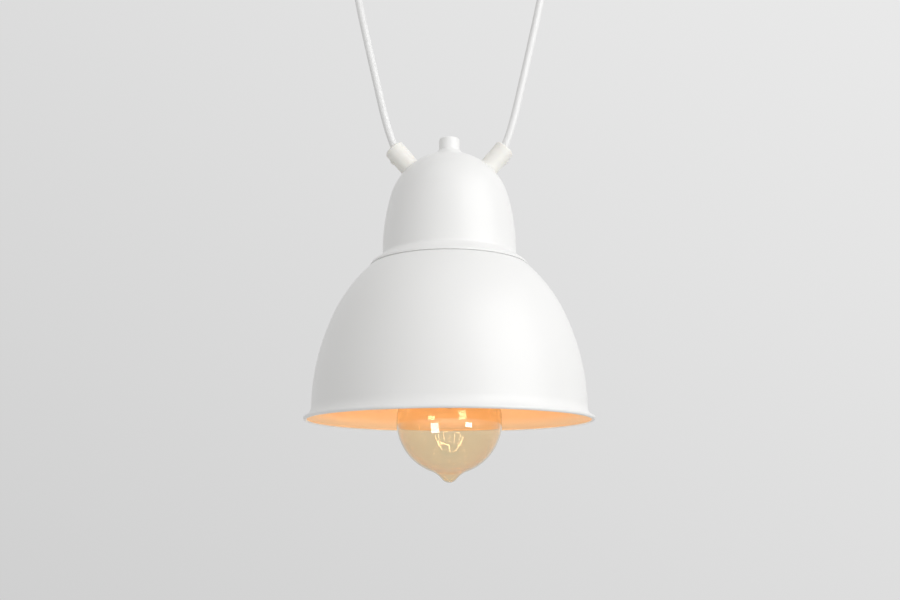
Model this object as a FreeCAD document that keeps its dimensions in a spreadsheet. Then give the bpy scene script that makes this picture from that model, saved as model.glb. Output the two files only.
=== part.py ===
"""Rise and fall pendant: a spun metal shade under a bell cap, hung on two cords in a V.

Millimetres, +Z up. The origin is the middle of the ceiling fitting's back, so the lamp hangs
below it. X runs along the two cords. The sheet "dim" holds the driving sizes; every piece is
bound to it. Heights in the lamp's head are counted up from the shade's rim.
"""
import FreeCAD, Part
import math
import os
import Sketcher

V = FreeCAD.Vector
UP = V(0, 0, 1)
ALONG_Y = V(0, 1, 0)

doc = FreeCAD.newDocument("rise_and_fall_pendant")
sheet = doc.addObject("Spreadsheet::Sheet", "dim")

DRIVING = [
    # alias, value, what it is
    ("rim_drop", 484, "ceiling to the rim of the shade"),
    ("sheet_wall", 1.2, "metal of the shade and cap"),
    ("gap", 0.2, "radial clearance of anything in its bore"),
    ("thread_gap", 0.02, "radial clearance of a thread"),
    # shade
    ("rim_radius", 130, "outside of the rolled rim"),
    ("bead_radius", 2.4, "rolled rim, in section"),
    ("flare_width", 6.6, "rim beyond the shade just above its flare"),
    ("flare_height", 12, "top of the flare above the rim"),
    ("shade_turn", 24, "degrees the side leans in where the shoulder starts"),
    ("neck_turn", 46.86, "degrees the shoulder leans in at the seam"),
    ("shade_height", 140.6, "rim to the seam under the cap"),
    ("neck_rounding", 0.8, "edge of the shade at the seam"),
    ("wire_hole_radius", 6, "holes in the shade's top for the cords"),
    ("wire_hole_spread", 22, "those holes from the axis"),
    # cap
    ("cap_height", 111.4, "seam to the top of the dome"),
    ("dome_radius", 57, "round top of the cap"),
    ("cap_lean", 4.8, "cap at the crease beyond the dome"),
    ("foot_width", 11.7, "foot beyond the cap at the crease"),
    ("cap_straight", 19.4, "seam to the start of the side's curve"),
    ("foot_rounding", 5, "edge of the cap's foot"),
    ("foot_slope", 36, "degrees the foot falls from level"),
    ("crease_radius", 3, "hollow between foot and side"),
    # cord grips
    ("grip_angle", 40, "degrees of the head's grips from upright"),
    ("grip_radius", 9.75, "body of a grip"),
    ("grip_length", 25.6, "seat to the outer end of a grip"),
    ("grip_chamfer", 1.3, "outer end of a grip"),
    ("mouth_depth", 7.6, "flared mouth of a grip"),
    ("mouth_radius", 7, "flared mouth at the outer end"),
    ("stub_radius", 5, "threaded end of a grip"),
    ("stub_length", 10, "threaded end inside the cap or canopy"),
    ("grip_screw_height", 15.5, "side screw above the seat"),
    ("screw_shank_radius", 2, "side screw"),
    ("screw_head_radius", 2.8, "side screw's head"),
    ("screw_head_height", 1.9, "side screw's head"),
    ("screw_dome", 3.1, "domed edge of that head, in section"),
    ("slot_width", 0.9, "screwdriver slot"),
    ("slot_depth", 0.8, "screwdriver slot"),
    ("nut_flats", 14, "thin nuts across the flats"),
    ("nut_height", 3.5, "thin nuts"),
    # cords
    ("cord_radius", 3.6, "round sheathed cord"),
    ("core_radius", 1.15, "one insulated core"),
    ("core_pitch", 2.6, "centre to centre of the cores"),
    # centre tube and finial
    ("tube_radius", 5, "threaded tube"),
    ("tube_bore", 3.4, "threaded tube, inside"),
    ("finial_radius", 9.8, "knob on top"),
    ("finial_height", 14.2, "knob on top"),
    ("finial_rounding", 1.8, "upper edge of the knob"),
    ("finial_thread", 9.5, "depth of the thread in the knob"),
    ("collar_radius", 14.3, "foot of the collar under the knob"),
    ("collar_top_radius", 10.6, "top of that collar"),
    ("collar_rise", 1.4, "top of the collar above the dome"),
    ("washer_radius", 12, "washer under the shade's top"),
    ("washer_height", 1.5, "washer under the shade's top"),
    # lampholder
    ("holder_mouth", 58, "mouth of the lampholder above the rim"),
    ("holder_radius", 20.5, "outside of the skirt"),
    ("holder_wall", 2.6, "skirt and holder cap"),
    ("skirt_height", 39, "mouth to the joint with the holder cap"),
    ("holder_cap_height", 21, "joint to the top of the holder"),
    ("holder_boss_radius", 8.5, "boss round the threaded tube"),
    ("holder_boss_height", 6, "that boss"),
    ("shell_radius", 13.6, "inside of the thread shell"),
    ("shell_wall", 0.5, "thread shell"),
    ("insert_height", 8, "ceramic insert"),
    ("seat_depth", 27.3, "mouth to the centre contact"),
    # bulb
    ("globe_radius", 47.5, "glass globe"),
    ("glass_wall", 0.9, "glass globe"),
    ("neck_glass_radius", 12.4, "glass where it enters the base"),
    ("neck_arc", 22, "hollow curve of the neck"),
    ("neck_length", 5.4, "straight end of the neck, inside the base"),
    ("pip_length", 7, "tip below the globe"),
    ("pip_radius", 6.5, "round end of the tip"),
    ("pip_arc", 14, "hollow curve into the tip"),
    ("base_start", 61, "globe centre to the metal base"),
    ("base_length", 20, "metal base"),
    ("base_radius", 13.2, "metal base"),
    ("base_hole", 9.6, "opening in the end of the base"),
    ("insulator_radius", 10.5, "black glass on the base"),
    ("insulator_height", 2.4, "black glass on the base"),
    ("contact_height", 1.2, "solder contact"),
    ("contact_radius", 4.8, "solder contact"),
    ("rod_tip", 11, "lower end of the glass rod from the globe centre"),
    ("rod_radius", 1.6, "glass rod inside the bulb"),
    ("press_height", 46, "globe centre to the flat press over the rod"),
    ("press_radius", 3.6, "glass press"),
    ("cage_radius", 15, "filament from the axis"),
    ("cage_top", 40, "upper turns of the filament above the globe centre"),
    ("cage_bottom", 15, "lower turns of the filament above the globe centre"),
    ("cage_legs", 10, "upright legs of the filament"),
    ("filament_radius", 0.35, "coiled filament"),
    ("support_radius", 0.4, "support wires"),
    # ceiling fitting
    ("cord_spread", 91.9, "each cord's upper end from the middle"),
    ("canopy_height", 26, "ceiling to the canopy's underside"),
    ("canopy_width", 62, "across the canopy"),
    ("canopy_wall", 1.6, "metal of the canopy"),
    ("canopy_rounding", 4, "lower edge of the canopy"),
    ("bracket_half", 62, "middle to the legs of the bracket"),
    ("bracket_foot", 14, "feet of the bracket"),
    ("bracket_width", 18, "across the bracket"),
    ("bracket_gauge", 2, "steel of the bracket"),
    ("ceiling_hole_spread", 45, "ceiling screws from the middle"),
    ("ceiling_hole_radius", 2.75, "ceiling screw holes"),
    ("canopy_screw_radius", 2, "screws that hold the canopy"),
    ("canopy_screw_head", 3.8, "their heads"),
    ("canopy_screw_dome", 2.3, "domed edge of those heads, in section"),
    ("block_length", 30, "terminal block"),
    ("block_width", 16, "terminal block"),
    ("block_height", 11, "terminal block"),
    ("block_side", 7.7, "upright side of the terminal block, above its slope"),
    ("port_radius", 1.8, "wire ports of the terminal block"),
    ("port_pitch", 9, "between the ports"),
    ("port_drop", 8, "ceiling to the ports"),
    ("wire_pass_radius", 5.5, "holes in the bracket's legs for the cores"),
]

DERIVED = [
    ("shade_radius", "=rim_radius - flare_width"),
    ("cap_radius", "=dome_radius + cap_lean"),
    ("neck_radius", "=cap_radius + foot_width"),
    # the shade's two tangent arcs: their radii fit the run in and the rise from flare to seam
    ("shade_run", "=shade_radius - neck_radius"),
    ("shade_rise", "=shade_height - flare_height"),
    ("lower_in", "=1 - cos(shade_turn)"),
    ("lower_up", "=sin(shade_turn)"),
    ("upper_in", "=cos(shade_turn) - cos(neck_turn)"),
    ("upper_up", "=sin(neck_turn) - sin(shade_turn)"),
    ("arc_share", "=lower_up * upper_in - lower_in * upper_up"),
    ("shade_arc", "=(shade_rise * upper_in - shade_run * upper_up) / arc_share"),
    ("shoulder_arc", "=(shade_run * lower_up - shade_rise * lower_in) / arc_share"),
    ("shade_bend_x", "=shade_radius - shade_arc * (1 - cos(shade_turn))"),
    ("shade_bend_z", "=flare_height + shade_arc * sin(shade_turn)"),
    ("shoulder_x", "=shade_bend_x - shoulder_arc * cos(shade_turn)"),
    ("shoulder_z", "=shade_bend_z - shoulder_arc * sin(shade_turn)"),
    ("plate_z", "=shade_height - sheet_wall"),
    ("neck_inside", "=shoulder_x + sqrt((shoulder_arc - sheet_wall)^2 - (plate_z - shoulder_z)^2)"),
    # the flare runs into the middle of the rolled rim
    ("bead_x", "=rim_radius - bead_radius"),
    ("flare_run", "=bead_x - shade_radius + sheet_wall / 2"),
    ("flare_fall", "=flare_height - bead_radius"),
    ("flare_arc", "=(flare_run^2 + flare_fall^2) / (2 * flare_run)"),
    ("flare_side", "=(flare_arc - flare_run) / flare_arc"),
    ("flare_drop", "=flare_fall / flare_arc"),
    # the cap, in heights above the seam
    ("foot_x", "=neck_radius - foot_rounding"),
    ("crease_z", "=foot_rounding * cos(foot_slope) + (foot_x + foot_rounding * sin(foot_slope)"
                 " - cap_radius) * tan(foot_slope) + crease_radius * tan((90 - foot_slope) / 2)"),
    ("crease_x", "=cap_radius + crease_radius"),
    ("dome_z", "=cap_height - dome_radius"),
    ("side_rise", "=dome_z - cap_straight"),
    ("side_arc", "=(cap_radius^2 + side_rise^2 - dome_radius^2) / (2 * (cap_radius - dome_radius))"),
    ("dome_out", "=(side_arc - cap_radius) / (side_arc - dome_radius)"),
    ("dome_up", "=side_rise / (side_arc - dome_radius)"),
    # bores and seats
    ("tube_hole", "=tube_radius + gap"),
    ("stub_hole", "=stub_radius + gap"),
    ("cord_bore", "=cord_radius + gap"),
    ("nut_corner", "=nut_flats / sqrt(3)"),
    ("dome_inside", "=dome_radius - sheet_wall"),
    ("dome_nut_seat", "=sqrt(dome_inside^2 - nut_corner^2)"),
    # the stack on the centre tube, above the rim
    ("dome_centre", "=shade_height + dome_z"),
    ("collar_top", "=shade_height + cap_height + collar_rise"),
    ("holder_joint", "=holder_mouth + skirt_height"),
    ("holder_top", "=holder_joint + holder_cap_height"),
    ("tube_bottom", "=holder_top - holder_boss_height"),
    ("tube_top", "=collar_top + finial_thread - gap"),
    # the bulb
    ("bulb_top", "=base_start + base_length + insulator_height + contact_height"),
    ("bulb_centre", "=holder_mouth + seat_depth - gap - bulb_top"),
    ("neck_centre_x", "=neck_glass_radius + neck_arc"),
    ("neck_centre_z", "=sqrt((globe_radius + neck_arc)^2 - neck_centre_x^2)"),
    ("neck_share", "=globe_radius / (globe_radius + neck_arc)"),
    ("pip_z", "=-(globe_radius + pip_length - pip_radius)"),
    ("pip_arc_z", "=(pip_z^2 + (globe_radius + pip_arc)^2 - (pip_radius + pip_arc)^2) / (2 * pip_z)"),
    ("pip_arc_x", "=sqrt((globe_radius + pip_arc)^2 - pip_arc_z^2)"),
    ("pip_share", "=globe_radius / (globe_radius + pip_arc)"),
    ("tip_share", "=pip_radius / (pip_radius + pip_arc)"),
    # ceiling fitting
    ("canopy_floor", "=-(canopy_height - canopy_wall)"),
    ("canopy_screw_spread", "=bracket_half + bracket_foot / 2"),
    ("port_z", "=-port_drop"),
    ("core_entry", "=(holder_boss_radius + holder_radius - holder_wall) / 2"),
    ("grip_end_z", "=-(canopy_height + grip_length - mouth_depth)"),
]


# The right cord's route: distance from the axis and height above the rim. The left one mirrors it.
# It leaves the bore of the head's grip after EXIT_RUN, bends over the edge of its flared mouth,
# and meets the ceiling's grip after UPPER_RUN.
CORD_POINTS = [(54.1, 264.3), (60.0, 282.0), (66.9, 310.5), (90.4, 415.0)]
EXIT_RUN = 3.5
UPPER_RUN = 7

# Inside the cap it runs in to TAIL_TURN from the dome's centre, then down. Its cores go on from
# there, and end straight down for HEAD_CORE_DROP into the lampholder.
TAIL_TURN = 40
TAIL_POINTS = [(22.0, 211.5), (22.0, 150.0)]
HEAD_CORE_BEND = (22.0, 136.0)
HEAD_CORE_DROP = 20

# Inside the canopy the sheath ends SHEATH_BEYOND_STUB above the grip. The cores step inwards and
# upwards from there and spread at CORES_FAN_OUT of the bracket's half length.
SHEATH_BEYOND_STUB = 1.5
CEILING_CORE_STEPS = [(0, 2.8), (2.2, 5.6)]
CORES_FAN_OUT = 0.6

# A wire's bend takes up this share of the shorter run beside it; the filament's is tighter.
BEND_SHARE = 0.45
CAGE_BEND = 0.2
VOLUME_TOLERANCE = 0.005


def fill_sheet():
    row = 0
    for alias, value, meaning in DRIVING:
        row += 1
        sheet.set("A%d" % row, alias)
        sheet.set("B%d" % row, str(value))
        sheet.setAlias("B%d" % row, alias)
        sheet.set("C%d" % row, meaning)
    for alias, formula in DERIVED:
        row += 1
        sheet.set("A%d" % row, alias)
        sheet.set("B%d" % row, formula)
        sheet.setAlias("B%d" % row, alias)
    doc.recompute()


def number(formula):
    """The value of a formula such as "dim.rim_radius - dim.bead_radius"."""
    return float(sheet.evalExpression(formula))


# ---------------------------------------------------------------- sketches and features


def sketch_on(body, role, name):
    """An empty sketch on one of the body's own origin planes."""
    plane = next(f for f in body.Origin.OriginFeatures if f.Role == role)
    sketch = body.newObject("Sketcher::SketchObject", name)
    sketch.AttachmentSupport = [(plane, "")]
    sketch.MapMode = "FlatFace"
    return sketch


def constrain(sketch, constraint, formula):
    index = sketch.addConstraint(constraint)
    sketch.setExpression("Constraints[%d]" % index, formula)


def closed_outline(sketch, corners):
    """Lines and arcs round the corners, which are (x, y) or (x, y, radius, turn).

    A radius bends the edge that leaves its corner: turn "left" or "right" is the way it curves.
    """
    points = [V(number(c[0]), number(c[1]), 0) for c in corners]
    ends = []
    for index, corner in enumerate(corners):
        first = points[index]
        last = points[(index + 1) % len(points)]
        if len(corner) == 2:
            sketch.addGeometry(Part.LineSegment(first, last), False)
            ends.append((1, 2))
            continue
        side = 1 if corner[3] == "left" else -1
        sketch.addGeometry(minor_arc(first, last, number(corner[2]), side), False)
        ends.append((1, 2) if side == 1 else (2, 1))
    for index, corner in enumerate(corners):
        start = ends[index][0]
        sketch.addConstraint(Sketcher.Constraint("Coincident", index - 1 if index else len(corners) - 1,
                                                 ends[index - 1][1], index, start))
        x, y = points[index].x, points[index].y
        constrain(sketch, Sketcher.Constraint("DistanceX", -1, 1, index, start, x), corner[0])
        constrain(sketch, Sketcher.Constraint("DistanceY", -1, 1, index, start, y), corner[1])
        if len(corner) > 2:
            constrain(sketch, Sketcher.Constraint("Radius", index, number(corner[2])), corner[2])


def minor_arc(first, last, radius, side):
    """The shorter arc between two points, counted anticlockwise; side 1 curves left, -1 right."""
    chord = last - first
    left = V(-chord.y, chord.x, 0).normalize()
    rise = math.sqrt(max(radius**2 - (chord.Length / 2) ** 2, 0))
    centre = (first + last) / 2 + left * rise * side
    begin, end = (first, last) if side == 1 else (last, first)
    start_angle = math.atan2(begin.y - centre.y, begin.x - centre.x)
    end_angle = math.atan2(end.y - centre.y, end.x - centre.x)
    if end_angle < start_angle:
        end_angle += 2 * math.pi
    return Part.ArcOfCircle(Part.Circle(centre, UP, radius), start_angle, end_angle)


def circles(sketch, places, radius):
    """Equal circles at the given (x, y) places."""
    for index, (x, y) in enumerate(places):
        centre = V(number(x), number(y), 0)
        sketch.addGeometry(Part.Circle(centre, UP, number(radius)), False)
        constrain(sketch, Sketcher.Constraint("DistanceX", -1, 1, index, 3, centre.x), x)
        constrain(sketch, Sketcher.Constraint("DistanceY", -1, 1, index, 3, centre.y), y)
        constrain(sketch, Sketcher.Constraint("Radius", index, number(radius)), radius)


def new_body(name):
    body = doc.addObject("PartDesign::Body", name)
    body.Label = name
    return body


def turned(name, corners):
    """A body turned about its Z axis from the closed half outline in its XZ plane."""
    body = new_body(name)
    add_turned(body, name, corners)
    return body


def add_turned(body, name, corners):
    sketch = sketch_on(body, "XZ_Plane", name + "_outline")
    closed_outline(sketch, corners)
    feature = body.newObject("PartDesign::Revolution", name + "_turn")
    feature.Profile = (sketch, [""])
    feature.ReferenceAxis = (sketch, ["V_Axis"])
    feature.Angle = 360


def padded(body, sketch, length, both_ways=False, reversed_way=False):
    feature = body.newObject("PartDesign::Pad", sketch.Name + "_pad")
    feature.Profile = (sketch, [""])
    feature.SideType = "Symmetric" if both_ways else "One side"
    feature.Reversed = reversed_way
    feature.setExpression("Length", length)
    return feature


def pocketed(body, sketch, length=None, both_ways=False, reversed_way=False):
    """Cuts the sketch out of the body, right through where no length is given."""
    doc.recompute()
    before = body.Shape.Volume
    feature = body.newObject("PartDesign::Pocket", sketch.Name + "_cut")
    feature.Profile = (sketch, [""])
    feature.SideType = "Symmetric" if both_ways else "One side"
    feature.Reversed = reversed_way
    if length:
        feature.setExpression("Length", length)
    else:
        feature.Type = "ThroughAll"
    doc.recompute()
    if feature.Shape.Volume > before - 1e-3:
        raise RuntimeError(feature.Name + " cuts nothing")
    return feature


def drilled(body, role, name, places, radius, both_ways=True):
    sketch = sketch_on(body, role, name)
    circles(sketch, places, radius)
    return pocketed(body, sketch, both_ways=both_ways)


def mirrored(body, feature, role):
    plane = next(f for f in body.Origin.OriginFeatures if f.Role == role)
    mirror = body.newObject("PartDesign::Mirrored", feature.Name + "_mirror")
    mirror.Originals = [feature]
    mirror.MirrorPlane = (plane, [""])
    body.Tip = mirror


def place(piece, height="0", x="0", tilt=None, turn=0):
    """Sets a piece at x and height, tilted towards +X and then turned about the Z axis."""
    rotation = FreeCAD.Rotation(UP, turn)
    if tilt:
        rotation = rotation.multiply(FreeCAD.Rotation(ALONG_Y, number(tilt)))
    piece.Placement = FreeCAD.Placement(V(number(x), 0, number(height)), rotation)
    piece.setExpression("Placement.Base.x", x)
    piece.setExpression("Placement.Base.z", height)


def above_rim(height):
    return "%s - dim.rim_drop" % height


def add_wire(name, route, radius, bend_share=BEND_SHARE):
    """A round wire along straight runs joined by tangent arcs; prints its length and radii."""
    edges = []
    radii = []
    start = route[0]
    for before, corner, after in zip(route, route[1:], route[2:]):
        inward = (before - corner).normalize()
        outward = (after - corner).normalize()
        half_turn = (math.pi - inward.getAngle(outward)) / 2
        reach = bend_share * min((before - corner).Length, (after - corner).Length)
        bend = reach / math.tan(half_turn)
        middle = (inward + outward).normalize()
        crown = corner + middle * (bend / math.cos(half_turn) - bend)
        first = corner + inward * reach
        last = corner + outward * reach
        edges.append(Part.LineSegment(start, first).toShape())
        edges.append(Part.Arc(first, crown, last).toShape())
        radii.append(bend)
        start = last
    edges.append(Part.LineSegment(start, route[-1]).toShape())
    path = Part.Wire(edges)
    section = Part.Wire(Part.Circle(route[0], route[1] - route[0], radius).toShape())
    solid = path.makePipeShell([section], True, False)
    share = solid.Volume / (path.Length * math.pi * radius**2)
    if abs(share - 1) > VOLUME_TOLERANCE:
        raise RuntimeError("a wire's volume differs from its section times its length")
    feature_of(name, solid)
    bends = sorted(set(round(bend, 1) for bend in radii))
    print("%s: length %.1f, bend radii %s" % (name, path.Length, bends))


def feature_of(name, shape):
    feature = doc.addObject("Part::Feature", name)
    feature.Label = name
    feature.Shape = shape
    feature.Placement = FreeCAD.Placement()
    return feature


# ---------------------------------------------------------------- shade and cap


def lampshade():
    """Spun shade: two tangent arcs, a flare into the rolled rim, and a flat top with holes."""
    wall = "dim.sheet_wall"
    centre_x = "dim.shade_radius - dim.sheet_wall / 2 + dim.flare_arc"
    outer = "(dim.flare_arc - dim.sheet_wall / 2)"
    inner = "(dim.flare_arc + dim.sheet_wall / 2)"
    body = turned("lampshade", [
        ("dim.tube_hole", "dim.plate_z"),
        ("dim.neck_inside", "dim.plate_z", "dim.shoulder_arc - " + wall, "right"),
        ("dim.shade_bend_x - dim.sheet_wall * cos(dim.shade_turn)",
         "dim.shade_bend_z - dim.sheet_wall * sin(dim.shade_turn)", "dim.shade_arc - " + wall, "right"),
        ("dim.shade_radius - " + wall, "dim.flare_height", inner, "left"),
        (centre_x + " - %s * dim.flare_side" % inner, "dim.flare_height - %s * dim.flare_drop" % inner),
        (centre_x + " - %s * dim.flare_side" % outer, "dim.flare_height - %s * dim.flare_drop" % outer,
         outer, "right"),
        ("dim.shade_radius", "dim.flare_height", "dim.shade_arc", "left"),
        ("dim.shade_bend_x", "dim.shade_bend_z", "dim.shoulder_arc", "left"),
        ("dim.neck_radius", "dim.shade_height"),
        ("dim.tube_hole", "dim.shade_height"),
    ])
    sketch = sketch_on(body, "XZ_Plane", "rolled_rim_section")
    circles(sketch, [("dim.bead_x", "dim.bead_radius")], "dim.bead_radius")
    rim = body.newObject("PartDesign::Revolution", "rolled_rim")
    rim.Profile = (sketch, [""])
    rim.ReferenceAxis = (sketch, ["V_Axis"])
    rim.Angle = 360
    doc.recompute()
    neck = [
        "Edge%d" % (index + 1)
        for index, edge in enumerate(rim.Shape.Edges)
        if abs(edge.BoundBox.ZMin - number("dim.shade_height")) < 1e-3
        and abs(edge.BoundBox.XMax - number("dim.neck_radius")) < 1e-2
        and edge.BoundBox.ZLength < 1e-3
    ]
    fillet = body.newObject("PartDesign::Fillet", "neck_edge")
    fillet.Base = (rim, neck)
    fillet.setExpression("Radius", "dim.neck_rounding")
    drilled(body, "XY_Plane", "cord_holes",
            [("dim.wire_hole_spread", "0"), ("-dim.wire_hole_spread", "0")], "dim.wire_hole_radius")
    place(body, "-dim.rim_drop")


def cap_dome():
    """Bell cap: round top, side that leans in, hollow crease and a rounded foot over the seam."""
    wall = "dim.sheet_wall"
    outside = cap_side("0")
    inside = cap_side(wall)
    body = turned("cap_dome", outside + [
        ("dim.tube_hole", "dim.dome_z + sqrt(dim.dome_radius^2 - dim.tube_hole^2)"),
        ("dim.tube_hole", "dim.dome_z + sqrt(dim.dome_inside^2 - dim.tube_hole^2)",
         "dim.dome_inside", "right"),
    ] + turned_back(inside))
    sketch = sketch_on(body, "XY_Plane", "grip_hole")
    sketch.AttachmentOffset = FreeCAD.Placement(
        V(0, 0, number("dim.dome_z")), FreeCAD.Rotation(ALONG_Y, number("dim.grip_angle")))
    sketch.setExpression("AttachmentOffset.Base.z", "dim.dome_z")
    circles(sketch, [("0", "0")], "dim.stub_hole")
    hole = pocketed(body, sketch, reversed_way=True)
    mirrored(body, hole, "YZ_Plane")
    place(body, above_rim("dim.shade_height"))


def cap_side(inset):
    """The cap's outline from its foot to the dome, drawn in by inset, as arcs that leave each corner."""
    slope = "dim.foot_slope"
    return [
        ("dim.neck_radius - %s" % inset, "0", "dim.foot_rounding - %s" % inset, "left"),
        ("dim.foot_x + (dim.foot_rounding - %s) * sin(%s)" % (inset, slope),
         "(dim.foot_rounding - %s) * cos(%s)" % (inset, slope)),
        ("dim.crease_x - (dim.crease_radius + %s) * sin(%s)" % (inset, slope),
         "dim.crease_z - (dim.crease_radius + %s) * cos(%s)" % (inset, slope),
         "dim.crease_radius + %s" % inset, "right"),
        ("dim.cap_radius - %s" % inset, "dim.crease_z"),
        ("dim.cap_radius - %s" % inset, "dim.cap_straight", "dim.side_arc - %s" % inset, "left"),
        ("(dim.dome_radius - %s) * dim.dome_out" % inset,
         "dim.dome_z + (dim.dome_radius - %s) * dim.dome_up" % inset,
         "dim.dome_radius - %s" % inset, "left"),
    ]


def turned_back(corners):
    """The same corners walked the other way, each arc given to the edge that now leaves its corner."""
    back = []
    for index in range(len(corners) - 1, -1, -1):
        place_of = corners[index][:2]
        bend = corners[index - 1][2:] if index else ()
        if bend:
            bend = (bend[0], "right" if bend[1] == "left" else "left")
        back.append(place_of + bend)
    return back


# ---------------------------------------------------------------- cord grips


def cord_grip(name, seat_radius=None):
    """Turned nylon grip with a side screw hole: its seat is at the origin and its mouth points up.

    On the dome the seat is hollowed to the dome's radius; on the canopy it is flat.
    """
    if seat_radius:
        outer_seat = "sqrt(%s^2 - dim.grip_radius^2) - %s" % (seat_radius, seat_radius)
        inner_seat = "sqrt(%s^2 - dim.stub_radius^2) - %s" % (seat_radius, seat_radius)
        seat = [("dim.stub_radius", inner_seat, seat_radius, "right")]
    else:
        outer_seat = "0"
        seat = [("dim.stub_radius", "0")]
    body = turned(name, [
        ("dim.cord_bore", "-dim.stub_length"),
        ("dim.stub_radius", "-dim.stub_length"),
    ] + seat + [
        ("dim.grip_radius", outer_seat),
        ("dim.grip_radius", "dim.grip_length - dim.grip_chamfer"),
        ("dim.grip_radius - dim.grip_chamfer", "dim.grip_length"),
        ("dim.mouth_radius", "dim.grip_length"),
        ("dim.cord_bore", "dim.grip_length - dim.mouth_depth"),
    ])
    sketch = sketch_on(body, "YZ_Plane", name + "_screw_hole")
    circles(sketch, [("0", "dim.grip_screw_height")], "dim.screw_shank_radius + dim.gap")
    pocketed(body, sketch, reversed_way=True)
    return body


def grip_screw(name):
    """Side screw along +X, from the cord to just outside the grip, with a domed slotted head."""
    tip = "dim.cord_radius + dim.gap"
    body = turned(name, [
        ("0", tip),
        ("dim.screw_shank_radius", tip),
        ("dim.screw_shank_radius", "dim.grip_radius + dim.gap"),
        ("dim.screw_head_radius", "dim.grip_radius + dim.gap"),
        ("dim.screw_head_radius", "dim.grip_radius + dim.gap + dim.screw_head_height / 2",
         "dim.screw_dome", "left"),
        ("dim.screw_head_radius / 2", "dim.grip_radius + dim.gap + dim.screw_head_height"),
        ("0", "dim.grip_radius + dim.gap + dim.screw_head_height"),
    ])
    sketch = sketch_on(body, "XZ_Plane", name + "_slot")
    top = "dim.grip_radius + dim.gap + dim.screw_head_height"
    closed_outline(sketch, [
        ("-dim.slot_width / 2", top + " - dim.slot_depth"),
        ("dim.slot_width / 2", top + " - dim.slot_depth"),
        ("dim.slot_width / 2", top + " + dim.slot_depth"),
        ("-dim.slot_width / 2", top + " + dim.slot_depth"),
    ])
    pocketed(body, sketch, both_ways=True)
    return body


def thin_nut(name):
    """Hexagon nut on a threaded end, its lower face at the origin."""
    body = new_body(name)
    sketch = sketch_on(body, "XY_Plane", name + "_hexagon")
    closed_outline(sketch, [
        ("dim.nut_corner * cos(%d)" % angle, "dim.nut_corner * sin(%d)" % angle)
        for angle in range(0, 360, 60)
    ])
    padded(body, sketch, "dim.nut_height")
    doc.recompute()
    drilled(body, "XY_Plane", name + "_bore", [("0", "0")], "dim.tube_radius + dim.thread_gap")
    return body


def head_grips():
    for side, turn in (("right", 0), ("left", 180)):
        sign = "" if side == "right" else "-"
        grip = cord_grip("head_grip_" + side, "dim.dome_radius")
        nut = thin_nut("head_grip_nut_" + side)
        for piece, reach in ((grip, "dim.dome_radius"), (nut, "(dim.dome_nut_seat - dim.nut_height)")):
            place(piece, above_rim("dim.dome_centre + %s * cos(dim.grip_angle)" % reach),
                  "%s%s * sin(dim.grip_angle)" % (sign, reach), "dim.grip_angle", turn)
        screw = grip_screw("head_grip_screw_" + side)
        reach = "(dim.dome_radius + dim.grip_screw_height)"
        place(screw, above_rim("dim.dome_centre + %s * cos(dim.grip_angle)" % reach),
              "%s%s * sin(dim.grip_angle)" % (sign, reach), "dim.grip_angle + 90", turn)


def ceiling_grips():
    for side, turn in (("right", 0), ("left", 180)):
        sign = "" if side == "right" else "-"
        x = sign + "dim.cord_spread"
        place(cord_grip("ceiling_grip_" + side), "-dim.canopy_height", x, "180", turn + 180)
        place(thin_nut("ceiling_grip_nut_" + side), "dim.canopy_floor", x)
        place(grip_screw("ceiling_grip_screw_" + side), "-dim.canopy_height - dim.grip_screw_height",
              x, "90", turn)


# ---------------------------------------------------------------- centre tube, finial and collar


def centre_stack():
    """What stands on the lamp's axis: tube, collar, knob, washer and the nuts that clamp them."""
    tube = turned("threaded_tube", ring("dim.tube_bore", "dim.tube_radius",
                                        "dim.tube_top - dim.tube_bottom"))
    place(tube, above_rim("dim.tube_bottom"))
    foot = "sqrt(dim.dome_radius^2 - dim.%s^2) - dim.dome_radius"
    collar = turned("finial_collar", [
        ("dim.tube_hole", foot % "tube_hole", "dim.dome_radius", "right"),
        ("dim.collar_radius", foot % "collar_radius"),
        ("dim.collar_top_radius", "dim.collar_rise"),
        ("dim.tube_hole", "dim.collar_rise"),
    ])
    place(collar, above_rim("dim.shade_height + dim.cap_height"))
    finial = turned("finial", [
        ("dim.tube_radius + dim.thread_gap", "0"),
        ("dim.finial_radius", "0"),
        ("dim.finial_radius", "dim.finial_height - dim.finial_rounding", "dim.finial_rounding", "left"),
        ("dim.finial_radius - dim.finial_rounding", "dim.finial_height"),
        ("0", "dim.finial_height"),
        ("0", "dim.finial_thread"),
        ("dim.tube_radius + dim.thread_gap", "dim.finial_thread"),
    ])
    place(finial, above_rim("dim.collar_top"))
    washer = turned("shade_washer", ring("dim.tube_hole", "dim.washer_radius", "dim.washer_height"))
    place(washer, above_rim("dim.plate_z - dim.washer_height"))
    place(thin_nut("nut_under_shade"), above_rim("dim.plate_z - dim.washer_height - dim.nut_height"))
    place(thin_nut("nut_over_shade"), above_rim("dim.shade_height"))
    place(thin_nut("nut_under_dome"), above_rim("dim.dome_centre + dim.dome_nut_seat - dim.nut_height"))


def ring(inner, outer, height):
    return [(inner, "0"), (outer, "0"), (outer, height), (inner, height)]


# ---------------------------------------------------------------- lampholder


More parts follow.
